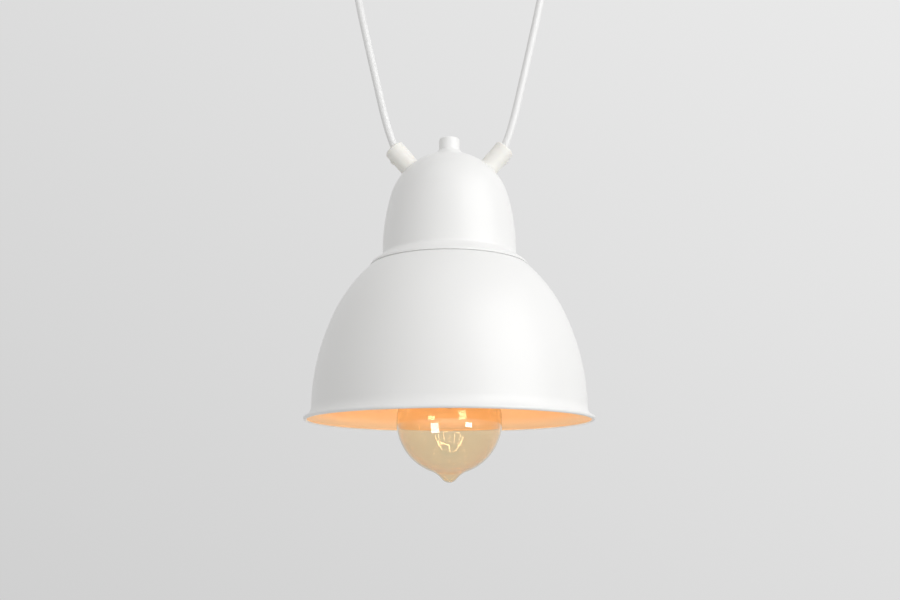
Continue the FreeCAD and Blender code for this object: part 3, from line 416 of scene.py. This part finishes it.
def ring(bm, radii, z):
    """A ring of vertices round Z, one for each radius, in millimetres."""
    turns = [2 * math.pi * s / len(radii) for s in range(len(radii))]
    return [bm.verts.new((r * MM * math.cos(a), r * MM * math.sin(a), z * MM)) for r, a in zip(radii, turns)]


def skin(name, bm, rings):
    """A mesh of the faces between rings of vertices, flat at both ends."""
    for first, second in zip(rings, rings[1:]):
        for s in range(len(first)):
            t = (s + 1) % len(first)
            bm.faces.new((first[s], first[t], second[t], second[s])).smooth = True
    bm.faces.new(rings[0])
    bm.faces.new(rings[-1])
    bmesh.ops.recalc_face_normals(bm, faces=bm.faces)
    mesh = bpy.data.meshes.new(name)
    bm.to_mesh(mesh)
    bm.free()
    return mesh


def lathe(name, profile, base, steps, closed=True, bands=()):
    """A mesh turned about Z from an (x, z) profile in millimetres, and placed by its base.

    bands are (first profile edge, material index): from that edge on, faces take that material.
    """
    mesh = bpy.data.meshes.new(name)
    bm = bmesh.new()
    rings = [ring(bm, [x] * steps if x > 1e-6 else [0], z) for x, z in profile]
    last = len(rings) if closed else len(rings) - 1
    for index in range(last):
        first, second = rings[index], rings[(index + 1) % len(rings)]
        if len(first) == 1 and len(second) == 1:
            continue
        material = 0
        for start, slot in bands:
            if index >= start:
                material = slot
        for s in range(steps):
            t = (s + 1) % steps
            corners = [first[s % len(first)], first[t % len(first)],
                       second[t % len(second)], second[s % len(second)]]
            face = bm.faces.new(list(dict.fromkeys(corners)))
            face.smooth = True
            face.material_index = material
    bmesh.ops.recalc_face_normals(bm, faces=bm.faces)
    bm.transform(base)
    bm.to_mesh(mesh)
    bm.free()
    return mesh


def at(x=0.0, z=0.0, tilt=0.0, turn=0.0):
    """A placement: tilted towards +X by degrees, turned about Z, moved to x and z in metres."""
    return (Matrix.Translation((x, 0, z)) @ Matrix.Rotation(math.radians(turn), 4, "Z")
            @ Matrix.Rotation(math.radians(tilt), 4, "Y"))


def soften(piece, angle=35):
    """Smooth shading with creases kept where faces meet at more than the angle."""
    piece.data.shade_smooth()
    piece.data.set_sharp_from_angle(angle=math.radians(angle))


# ---------------------------------------------------------------- stage, light and camera


def maths(tree, kind, operation, first, second):
    """The value that a maths node gives for two inputs, each a node's output or a constant."""
    node = tree.nodes.new(kind)
    node.operation = operation
    for socket, value in zip(node.inputs, (first, second)):
        if isinstance(value, bpy.types.NodeSocket):
            tree.links.new(value, socket)
        else:
            socket.default_value = value
    return node.outputs["Value"]


def floor():
    """A pale floor far below the lamp, which fades out with distance."""
    mesh = bpy.data.meshes.new("floor")
    bm = bmesh.new()
    bmesh.ops.create_circle(bm, cap_ends=True, segments=128, radius=FLOOR_RADIUS)
    bm.to_mesh(mesh)
    bm.free()
    disc = bpy.data.objects.new("floor", mesh)
    disc.location = (0, 0, FLOOR_HEIGHT)
    bpy.context.scene.collection.objects.link(disc)
    n = Nodes("floor_paint")
    n.link(n.ramp(n.noise(3, 3), [(0.3, (0.74, 0.74, 0.735)), (0.7, (0.76, 0.76, 0.755))]),
           n.shader.inputs["Base Color"])
    n.set(Roughness=0.7)
    distance = n.add("ShaderNodeVectorMath", operation="LENGTH")
    coordinates = n.add("ShaderNodeTexCoord")
    n.link(coordinates.outputs["Object"], distance.inputs[0])
    fade = (FLOOR_CLEAR, FLOOR_RADIUS - 0.2)
    n.link(n.spread(distance.outputs["Value"], 1, 0, fade), n.shader.inputs["Alpha"])
    mesh.materials.append(n.material)


def backdrop():
    """A plain graded backdrop, even light all round, and a brighter room that only reflections show."""
    world = bpy.data.worlds.new("studio")
    bpy.context.scene.world = world
    world.use_nodes = True
    tree = world.node_tree
    ambient = tree.nodes["Background"]
    ambient.inputs["Color"].default_value = (1.0, 0.995, 0.985, 1)
    ambient.inputs["Strength"].default_value = AMBIENT
    seen = tree.nodes.new("ShaderNodeBackground")
    away = tree.nodes.new("ShaderNodeTexCoord").outputs["Generated"]
    rays = tree.nodes.new("ShaderNodeLightPath").outputs
    slope = maths(tree, "ShaderNodeVectorMath", "DOT_PRODUCT", away, BACKDROP_SLOPE)
    level = maths(tree, "ShaderNodeMath", "ADD", slope, BACKDROP_LEVEL)
    behind = maths(tree, "ShaderNodeVectorMath", "DOT_PRODUCT", away, (0, -ROOM_BEHIND, 0))
    bright = maths(tree, "ShaderNodeMath", "MAXIMUM", behind, 0)
    mirrored = maths(tree, "ShaderNodeMath", "MULTIPLY", bright, rays["Is Glossy Ray"])
    total = maths(tree, "ShaderNodeMath", "ADD", level, mirrored)
    tree.links.new(total, seen.inputs["Color"])
    share = rays["Is Camera Ray"]
    for ray in ("Is Glossy Ray", "Is Transmission Ray"):
        share = maths(tree, "ShaderNodeMath", "MAXIMUM", share, rays[ray])
    mix = tree.nodes.new("ShaderNodeMixShader")
    tree.links.new(share, mix.inputs["Fac"])
    tree.links.new(ambient.outputs[0], mix.inputs[1])
    tree.links.new(seen.outputs[0], mix.inputs[2])
    tree.links.new(mix.outputs[0], tree.nodes["World Output"].inputs["Surface"])
    bpy.context.scene.view_settings.view_transform = "Standard"


def softbox(name, azimuth, elevation, size, power, matt):
    """An area light at an azimuth right of the camera, aimed at the lamp."""
    target = Vector((0, 0, above_rim(LIGHT_AIM)))
    a = math.radians(azimuth)
    e = math.radians(elevation)
    direction = Vector((math.sin(a) * math.cos(e), -math.cos(a) * math.cos(e), math.sin(e)))
    light = bpy.data.lights.new(name, "AREA")
    light.shape = "RECTANGLE"
    light.size, light.size_y = size
    light.energy = power
    holder = bpy.data.objects.new(name, light)
    holder.location = target + direction * LIGHT_DISTANCE
    holder.rotation_euler = direction.to_track_quat("Z", "Y").to_euler()
    holder.visible_diffuse = matt
    bpy.context.scene.collection.objects.link(holder)


def lamp_light():
    """The bulb's own light, which moves with the bulb and is not seen itself."""
    glow = bpy.data.lights.new("lamp_light", "POINT")
    glow.energy = LAMP_GLOW
    glow.color = (1.0, 0.76, 0.50)
    glow.shadow_soft_size = LAMP_RADIUS
    glow.use_soft_falloff = False
    holder = bpy.data.objects.new("lamp_light", glow)
    holder.location = (0, 0, above_rim(BULB_CENTRE))
    holder.visible_camera = False
    holder.visible_glossy = False
    holder.visible_transmission = False
    bpy.context.scene.collection.objects.link(holder)
    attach(holder, "bulb")


def camera():
    """The camera of the photo, in front of the lamp and looking up at it."""
    lens = bpy.data.cameras.new("camera")
    lens.lens = CAMERA_LENS
    lens.sensor_width = CAMERA_SENSOR
    holder = bpy.data.objects.new("camera", lens)
    holder.location = CAMERA_PLACE
    holder.rotation_euler = (math.radians(90 + CAMERA_RISE), 0, 0)
    bpy.context.scene.collection.objects.link(holder)
    bpy.context.scene.camera = holder


# ---------------------------------------------------------------- cords


def centreline(name, points):
    """Places along the smooth spline that follows a route's points, from end to end."""
    curve = bpy.data.curves.new(name, "CURVE")
    curve.dimensions = "3D"
    curve.resolution_u = 24
    spline = curve.splines.new("NURBS")
    spline.points.add(len(points) - 1)
    for point, place in zip(spline.points, points):
        point.co = (*place, 1)
    spline.order_u = 3
    spline.use_endpoint_u = True
    holder = bpy.data.objects.new(name, curve)
    bpy.context.scene.collection.objects.link(holder)
    bpy.context.view_layer.update()
    line = bpy.data.meshes.new_from_object(holder)
    places = [v.co.copy() for v in line.vertices]
    bpy.data.objects.remove(holder)
    bpy.data.curves.remove(curve)
    bpy.data.meshes.remove(line)
    return places


def tube(name, path, radius):
    """A round tube with flat ends along a path that lies in the XZ plane."""
    bm = bmesh.new()
    rings = []
    across = Vector((0, 1, 0))
    turns = [2 * math.pi * s / CORD_SIDES for s in range(CORD_SIDES)]
    for index, place in enumerate(path):
        before = path[max(index - 1, 0)]
        after = path[min(index + 1, len(path) - 1)]
        other = (after - before).normalized().cross(across)
        rings.append([bm.verts.new(place + (across * math.cos(a) + other * math.sin(a)) * radius)
                      for a in turns])
    return skin(name, bm, rings)


def cords():
    """Both cords, from the mouth of the head's grip to the ceiling's grip, as in the part's source."""
    angle = math.radians(GRIP_ANGLE)
    reach = DOME_RADIUS + MOUTH
    mouth = (reach * math.sin(angle), DOME_CENTRE + reach * math.cos(angle))
    beyond = (mouth[0] + EXIT_RUN * math.sin(angle), mouth[1] + EXIT_RUN * math.cos(angle))
    below_end = (UPPER_END[0], UPPER_END[1] - UPPER_RUN)
    route = [mouth, beyond] + CORD_POINTS + [below_end, UPPER_END]
    for side, sign in (("right", 1), ("left", -1)):
        path = centreline("route_" + side, [(sign * x * MM, 0, above_rim(z)) for x, z in route])
        cord = mesh_object("cord_%s_sheath" % side, tube("cord_%s_sheath" % side, path, CORD_RADIUS * MM),
                           "sling", [SHEATH])
        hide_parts("cord_" + side)
        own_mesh(cord)
        length = sum((b - a).length for a, b in zip(path, path[1:]))
        print("cord_%s: %.1f mm along its centre" % (side, length / MM))


# ---------------------------------------------------------------- shade, cap, knob and grips


def on_shoulder(height, radius):
    """Centre of the shoulder's arc, and the angle where it reaches a height."""
    turn = math.radians(SHADE_TURN)
    bend_x = SIDE_RADIUS - SIDE_ARC * (1 - math.cos(turn))
    bend_z = FLARE_HEIGHT + SIDE_ARC * math.sin(turn)
    centre = (bend_x - SHOULDER_ARC * math.cos(turn), bend_z - SHOULDER_ARC * math.sin(turn))
    return centre, math.degrees(math.asin((height - centre[1]) / radius))


def shade_side(inset):
    """The shade from its flare up to the shoulder's end, drawn in by the inset."""
    centre, end = on_shoulder(SHADE_HEIGHT - (inset or NECK_ROUNDING),
                              SHOULDER_ARC - (inset or NECK_ROUNDING))
    side = arc((SIDE_RADIUS - SIDE_ARC, FLARE_HEIGHT), SIDE_ARC - inset, 0, SHADE_TURN, 40)
    return side[:-1] + arc(centre, SHOULDER_ARC - inset, SHADE_TURN, end, 28)


def flare(offset):
    """One side of the flare, from the side down to the rolled rim; offset is from its middle."""
    run = RIM_RADIUS - BEAD_RADIUS - SIDE_RADIUS + WALL / 2
    fall = FLARE_HEIGHT - BEAD_RADIUS
    bend = (run ** 2 + fall ** 2) / (2 * run)
    centre = (SIDE_RADIUS - WALL / 2 + bend, FLARE_HEIGHT)
    bead = (RIM_RADIUS - BEAD_RADIUS, BEAD_RADIUS)
    points = arc(centre, bend + offset, 180, 180 + math.degrees(math.asin(fall / bend)), 36)
    return [p for p in points if math.hypot(p[0] - bead[0], p[1] - bead[1]) > BEAD_RADIUS]


def cut(piece, *cutters):
    """Cuts the cutters' meshes out of a piece."""
    for cutter in cutters:
        holder = bpy.data.objects.new("cutter", cutter)
        bpy.context.scene.collection.objects.link(holder)
        boolean = piece.modifiers.new("cut", "BOOLEAN")
        boolean.object = holder
        boolean.solver = "EXACT"
        bpy.context.view_layer.update()
        evaluated = piece.evaluated_get(bpy.context.evaluated_depsgraph_get())
        result = bpy.data.meshes.new_from_object(evaluated)
        piece.modifiers.clear()
        piece.data = result
        bpy.data.objects.remove(holder)


def drill(radius, low, high, base):
    """A round cutter along the base's Z."""
    return lathe("cutter", [(0, low), (radius, low), (radius, high), (0, high)], base, 64, closed=False)


def shade():
    """The spun shade: top, shoulder, side, flare and rolled rim, with the bulb's glow painted on the inside.
    """
    bead = (RIM_RADIUS - BEAD_RADIUS, BEAD_RADIUS)
    outer = flare(-WALL / 2)
    inner = flare(WALL / 2)
    first = math.degrees(math.atan2(outer[-1][1] - bead[1], outer[-1][0] - bead[0]))
    last = math.degrees(math.atan2(inner[-1][1] - bead[1], inner[-1][0] - bead[0])) - 360
    centre, end = on_shoulder(SHADE_HEIGHT - NECK_ROUNDING, SHOULDER_ARC - NECK_ROUNDING)
    turned = math.radians(end)
    edge = (centre[0] + (SHOULDER_ARC - NECK_ROUNDING) * math.cos(turned), SHADE_HEIGHT - NECK_ROUNDING)
    down = [(TUBE_HOLE, SHADE_HEIGHT)] + along((TOP_INSIDE, SHADE_HEIGHT), (edge[0], SHADE_HEIGHT), 3)
    down += arc(edge, NECK_ROUNDING, 90, end, 6)[1:]
    down += list(reversed(shade_side(0)))[1:] + outer[1:]
    rolled = arc(bead, BEAD_RADIUS, first, last, 40)
    up = list(reversed(inner)) + shade_side(WALL)[1:]
    up += [(TOP_INSIDE, SHADE_HEIGHT - WALL), (TUBE_HOLE, SHADE_HEIGHT - WALL)]
    profile = down + rolled[1:-1] + up
    # faces from here on take the painted bulb glow
    bands = ((len(down) + PAINTED_GLOW_START, 1),)
    mesh = lathe("shade_shell", profile, at(z=above_rim(0)), 256, bands=bands)
    piece = mesh_object("shade_shell", mesh, "head", [WHITE_COAT, PAINTED_BULB_GLOW])
    holes = [drill(CORD_HOLE_RADIUS, SHADE_HEIGHT - 5, SHADE_HEIGHT + 5, at(x * MM, above_rim(0)))
             for x in (CORD_HOLE_SPREAD, -CORD_HOLE_SPREAD)]
    cut(piece, *holes)
    soften(piece)
    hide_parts("lampshade")


def cap_side(inset):
    """The cap's outline in heights above the seam, from its foot to the top of its dome."""
    foot_x = NECK_RADIUS - FOOT_ROUNDING
    slope = math.radians(FOOT_SLOPE)
    crease_z = (FOOT_ROUNDING * math.cos(slope)
                + (foot_x + FOOT_ROUNDING * math.sin(slope) - CAP_RADIUS) * math.tan(slope)
                + CREASE_RADIUS * math.tan((math.pi / 2 - slope) / 2))
    dome_z = DOME_CENTRE - SHADE_HEIGHT
    rise = dome_z - CAP_STRAIGHT
    side = (CAP_RADIUS ** 2 + rise ** 2 - DOME_RADIUS ** 2) / (2 * (CAP_RADIUS - DOME_RADIUS))
    join = math.degrees(math.asin(rise / (side - DOME_RADIUS)))
    top = math.degrees(math.acos(TUBE_HOLE / (DOME_RADIUS - inset)))
    points = arc((foot_x, 0), FOOT_ROUNDING - inset, 0, 90 - FOOT_SLOPE, 14)
    points += arc((CAP_RADIUS + CREASE_RADIUS, crease_z), CREASE_RADIUS + inset, 270 - FOOT_SLOPE, 180, 12)
    points += arc((CAP_RADIUS - side, CAP_STRAIGHT), side - inset, 0, join, 20)
    points += arc((0, dome_z), DOME_RADIUS - inset, join, top, 48)[1:]
    return points


def cap():
    """The bell cap over the seam's groove, with a hole for each grip's threaded end."""
    outer = [p for p in cap_side(0) if p[1] > SEAM_HEIGHT]
    groove = NECK_RADIUS - SEAM_DEPTH
    lip = SEAM_HEIGHT - SEAM_EDGE
    seam = [(SEAM_INSIDE, 0), (groove, 0), (groove, lip), (NECK_RADIUS - SEAM_LIP, lip)]
    profile = seam + outer + [p for p in reversed(cap_side(WALL)) if p[1] > INNER_FOOT]
    mesh = lathe("cap_shell", profile, at(z=above_rim(SHADE_HEIGHT)), 256)
    piece = mesh_object("cap_shell", mesh, "head", [WHITE_COAT])
    holes = [drill(TUBE_HOLE, DOME_RADIUS - 17, DOME_RADIUS + 13,
                   at(0, above_rim(DOME_CENTRE), GRIP_ANGLE, turn)) for turn in (0, 180)]
    cut(piece, *holes)
    soften(piece)
    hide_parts("cap_dome")


def knob():
    """The knob, and the low conical collar that it stands on."""
    top = above_rim(DOME_CENTRE + DOME_RADIUS + COLLAR_RISE + KNOB_GAP)
    flat = KNOB_RADIUS - KNOB_EDGE
    crown = KNOB_RADIUS - KNOB_ROUNDING
    profile = [(KNOB_BORE, 0)] + along((6, 0), (flat, 0), 2) + arc((flat, KNOB_EDGE), KNOB_EDGE, -90, 0, 4)
    profile += along((KNOB_RADIUS, 2 * KNOB_EDGE), (KNOB_RADIUS, KNOB_HEIGHT - KNOB_ROUNDING - 0.2), 6)
    profile += arc((crown, KNOB_HEIGHT - KNOB_ROUNDING), KNOB_ROUNDING, 0, 90, 14)
    profile += along((crown - 0.4, KNOB_HEIGHT), (0, KNOB_HEIGHT), 4)
    profile += [(0, KNOB_BORE_DEPTH), (KNOB_BORE, KNOB_BORE_DEPTH)]
    mesh = lathe("knob", profile, at(z=top), 160)
    piece = mesh_object("knob", mesh, "knob", [WHITE_COAT])
    soften(piece)
    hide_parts("finial")

    foot = [(x, math.sqrt(DOME_RADIUS ** 2 - x ** 2) - DOME_RADIUS)
            for x in (TUBE_HOLE, 8, 11, COLLAR_RADIUS)]
    cone = along((COLLAR_RADIUS, foot[-1][1] + 0.5), (COLLAR_TOP, COLLAR_RISE - 0.5), 4)
    cone += arc((COLLAR_TOP - COLLAR_EDGE, COLLAR_RISE - COLLAR_EDGE), COLLAR_EDGE, 30, 90, 5)
    mesh = lathe("knob_collar", foot + cone + [(TUBE_HOLE, COLLAR_RISE)],
                 at(z=above_rim(DOME_CENTRE + DOME_RADIUS)), 160)
    piece = mesh_object("knob_collar", mesh, "head", [WHITE_COAT])
    soften(piece)
    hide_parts("finial_collar")


def grip_profile(seat_radius):
    """A grip in section, its seat at the origin, with its edges broken."""
    seat = [(x, math.sqrt(seat_radius ** 2 - x ** 2) - seat_radius if seat_radius else 0.0)
            for x in (STUB_RADIUS, 6.5, 8.0, GRIP_RADIUS - 0.6)]
    shoulder = GRIP_LENGTH - GRIP_CHAMFER
    points = [(CORD_BORE, -STUB_LENGTH), (STUB_RADIUS - 0.4, -STUB_LENGTH)]
    for step in range(STUB_TURNS):
        turn_z = -STUB_LENGTH + 0.5 + step
        points += [(STUB_RADIUS - 0.35, turn_z), (STUB_RADIUS, turn_z + 0.5)]
    points += seat + [(GRIP_RADIUS, seat[-1][1] + 0.6)]
    points += along((GRIP_RADIUS, 1), (GRIP_RADIUS, shoulder - 0.3), 6)
    points += arc((GRIP_RADIUS - GRIP_EDGE, shoulder - 0.3), GRIP_EDGE, 6, 40, 5)
    points += arc((GRIP_RADIUS - GRIP_CHAMFER - 0.2, GRIP_LENGTH - GRIP_EDGE), GRIP_EDGE, 50, 88, 5)
    points += arc((MOUTH_RADIUS + MOUTH_EDGE, GRIP_LENGTH - MOUTH_EDGE), MOUTH_EDGE, 92, 156, 5)
    points += along((MOUTH_RADIUS - 0.15, GRIP_LENGTH - 2 * MOUTH_EDGE), (CORD_BORE + 0.3, MOUTH + 0.5), 5)
    return points + [(CORD_BORE, MOUTH - 0.6)]


SIDES = (("right", 0, 1), ("left", 180, -1))


def grips():
    """The four cord grips, two square on the dome and two under the canopy."""
    angle = math.radians(GRIP_ANGLE)
    for side, turn, sign in SIDES:
        seat = at(sign * DOME_RADIUS * math.sin(angle) * MM,
                  above_rim(DOME_CENTRE + DOME_RADIUS * math.cos(angle)), GRIP_ANGLE, turn)
        under = at(sign * UPPER_END[0] * MM, -CANOPY_HEIGHT * MM, 180, turn + 180)
        for body, base, radius in (("head", seat, DOME_RADIUS), ("ceiling", under, 0)):
            name = "%s_cord_grip_%s" % (body, side)
            mesh = lathe(name, grip_profile(radius), base, 128)
            piece = mesh_object(name, mesh, body, [IVORY])
            hole = (base @ Matrix.Translation((0, 0, GRIP_SCREW_HEIGHT * MM))
                    @ Matrix.Rotation(math.pi / 2, 4, "Y"))
            cut(piece, drill(SCREW_HOLE, 2, 12, hole))
            soften(piece)
            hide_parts("%s_grip_%s" % (body, side))


def side_screws():
    """Low domed screws with a slot, one through the wall of each grip."""
    angle = math.radians(GRIP_ANGLE)
    reach = DOME_RADIUS + GRIP_SCREW_HEIGHT
    start = GRIP_RADIUS + 0.1
    section = [(0, SCREW_START), (SCREW_POINT, SCREW_START), (SCREW_SHANK, SCREW_START + 0.4)]
    section += along((SCREW_SHANK, 5), (SCREW_SHANK, start - 0.3), 6)
    section += [(SCREW_HEAD - 0.15, start - 0.1), (SCREW_HEAD, start + 0.15)]
    section += arc((0, start - 2.9), SCREW_DOME, 47, 90, 10)
    for side, turn, sign in SIDES:
        on_head = at(sign * reach * math.sin(angle) * MM,
                     above_rim(DOME_CENTRE + reach * math.cos(angle)), GRIP_ANGLE + 90, turn)
        on_ceiling = at(sign * UPPER_END[0] * MM, -(CANOPY_HEIGHT + GRIP_SCREW_HEIGHT) * MM, 90, turn)
        for place, base in (("head", on_head), ("ceiling", on_ceiling)):
            name = "%s_side_screw_%s" % (place, side)
            piece = mesh_object(name, lathe(name, section, base, 64), "%s_screw_%s" % (place, side),
                                [IVORY])
            bm = bmesh.new()
            bmesh.ops.create_cube(bm, size=1, matrix=base @ Matrix.Translation((0, 0, (start + 1.4) * MM))
                                  @ Matrix.Diagonal((*[length * MM for length in SLOT_SIZE], 1)))
            slot = bpy.data.meshes.new("cutter")
            bm.to_mesh(slot)
            bm.free()
            cut(piece, slot)
            soften(piece)
            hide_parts("%s_grip_screw_%s" % (place, side))


# ---------------------------------------------------------------- bulb


def globe_side(inset):
    """The glass from its tip to its neck, in heights from the globe's centre, drawn in by the inset."""
    neck_x = GLASS_NECK + NECK_HOLLOW
    neck_z = math.sqrt((GLOBE_RADIUS + NECK_HOLLOW) ** 2 - neck_x ** 2)
    tip_z = -(GLOBE_RADIUS + TIP_DROP - TIP_RADIUS)
    reach = (GLOBE_RADIUS + TIP_HOLLOW) ** 2
    arc_z = (tip_z ** 2 + reach - (TIP_RADIUS + TIP_HOLLOW) ** 2) / (2 * tip_z)
    arc_x = math.sqrt(reach - arc_z ** 2)
    tip_end = math.degrees(math.atan2(arc_z - tip_z, arc_x))
    low = math.degrees(math.atan2(arc_z, arc_x))
    high = math.degrees(math.atan2(neck_z, neck_x))
    points = arc((0, tip_z), TIP_RADIUS - inset, -90, tip_end, 14)
    points += arc((arc_x, arc_z), TIP_HOLLOW + inset, 180 + tip_end, 180 + low, 12)[1:]
    points += arc((0, 0), GLOBE_RADIUS - inset, low, high, 96)[1:]
    points += arc((neck_x, neck_z), NECK_HOLLOW + inset, 180 + high, 180, 24)[1:]
    points += [(GLASS_NECK - inset, neck_z + NECK_LENGTH)]
    return [(max(x, 0.0), z) for x, z in points]


def screw_base():
    """The rolled thread of the bulb's base, which fades out at both ends."""
    bm = bmesh.new()
    rings = [ring(bm, [BASE_ENDS[0][0]] * THREAD_SIDES, BASE_ENDS[0][1])]
    for index in range(THREAD_RINGS + 1):
        z = THREAD_START + THREAD_LENGTH * index / THREAD_RINGS
        fade = min(1, index / THREAD_FADE, (THREAD_RINGS - index) / THREAD_FADE)
        turns = [2 * math.pi * (z / THREAD_PITCH - s / THREAD_SIDES) for s in range(THREAD_SIDES)]
        radii = [THREAD_RADIUS - THREAD_DEPTH * fade * (0.5 - 0.5 * math.cos(a)) for a in turns]
        rings.append(ring(bm, radii, z))
    rings.append(ring(bm, [BASE_ENDS[1][0]] * THREAD_SIDES, BASE_ENDS[1][1]))
    return skin("bulb_thread", bm, rings)


def bulb():
    """The amber globe and its screw base."""
    base = at(z=above_rim(BULB_CENTRE))
    profile = globe_side(0) + list(reversed(globe_side(GLASS_WALL)))
    piece = mesh_object("globe", lathe("globe", profile, base, 256), "bulb", [AMBER_GLASS])
    soften(piece, 60)
    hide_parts("bulb_glass")

    mesh = screw_base()
    mesh.transform(base)
    piece = mesh_object("bulb_thread", mesh, "bulb", [BRASS])
    soften(piece, 50)
    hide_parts("bulb_base")


# ---------------------------------------------------------------- finishes of the carried-over nodes


FINISHES = {
    "cap_dome": WHITE_COAT, "lampshade": WHITE_COAT, "finial": WHITE_COAT, "finial_collar": WHITE_COAT,
    "ceiling_canopy": WHITE_COAT, "canopy_screw_left": WHITE_COAT, "canopy_screw_right": WHITE_COAT,
    "mounting_bracket": ZINC, "threaded_tube": ZINC, "shade_washer": ZINC,
    "nut_under_shade": ZINC, "nut_over_shade": ZINC, "nut_under_dome": ZINC,
    "terminal_screw_near": ZINC, "terminal_screw_middle": ZINC, "terminal_screw_far": ZINC,
    "filament_supports": ZINC, "filament": GLOW,
    "thread_shell": BRASS, "centre_contact": BRASS, "bulb_base": BRASS, "bulb_contact": BRASS,
    "lampholder_skirt": BLACK_RESIN, "lampholder_cap": BLACK_RESIN, "bulb_insulator": BLACK_RESIN,
    "lampholder_insert": CERAMIC, "terminal_block": BLOCK_RESIN,
    "bulb_glass": AMBER_GLASS, "bulb_stem": CLEAR_GLASS,
}
for side in ("left", "right"):
    FINISHES["cord_%s" % side] = SHEATH
    for place in ("head", "ceiling"):
        FINISHES["%s_grip_%s" % (place, side)] = IVORY
        FINISHES["%s_grip_screw_%s" % (place, side)] = IVORY
        FINISHES["%s_grip_nut_%s" % (place, side)] = ZINC
        FINISHES["%s_cord_end_%s" % (place, side)] = SHEATH
for colour, material in CORES.items():
    for place in ("head", "ceiling"):
        FINISHES["%s_core_%s" % (place, colour)] = material


def finish_nodes():
    """Gives each CAD node its finish, also those that a mesh here replaces."""
    for name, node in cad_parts.items():
        node.data.materials.clear()
        node.data.materials.append(FINISHES[name])


# ---------------------------------------------------------------- build


camera()
floor()
backdrop()
for row in SOFTBOXES:
    softbox(*row)
lamp_light()
finish_nodes()
cords()
shade()
cap()
knob()
grips()
side_screws()
bulb()
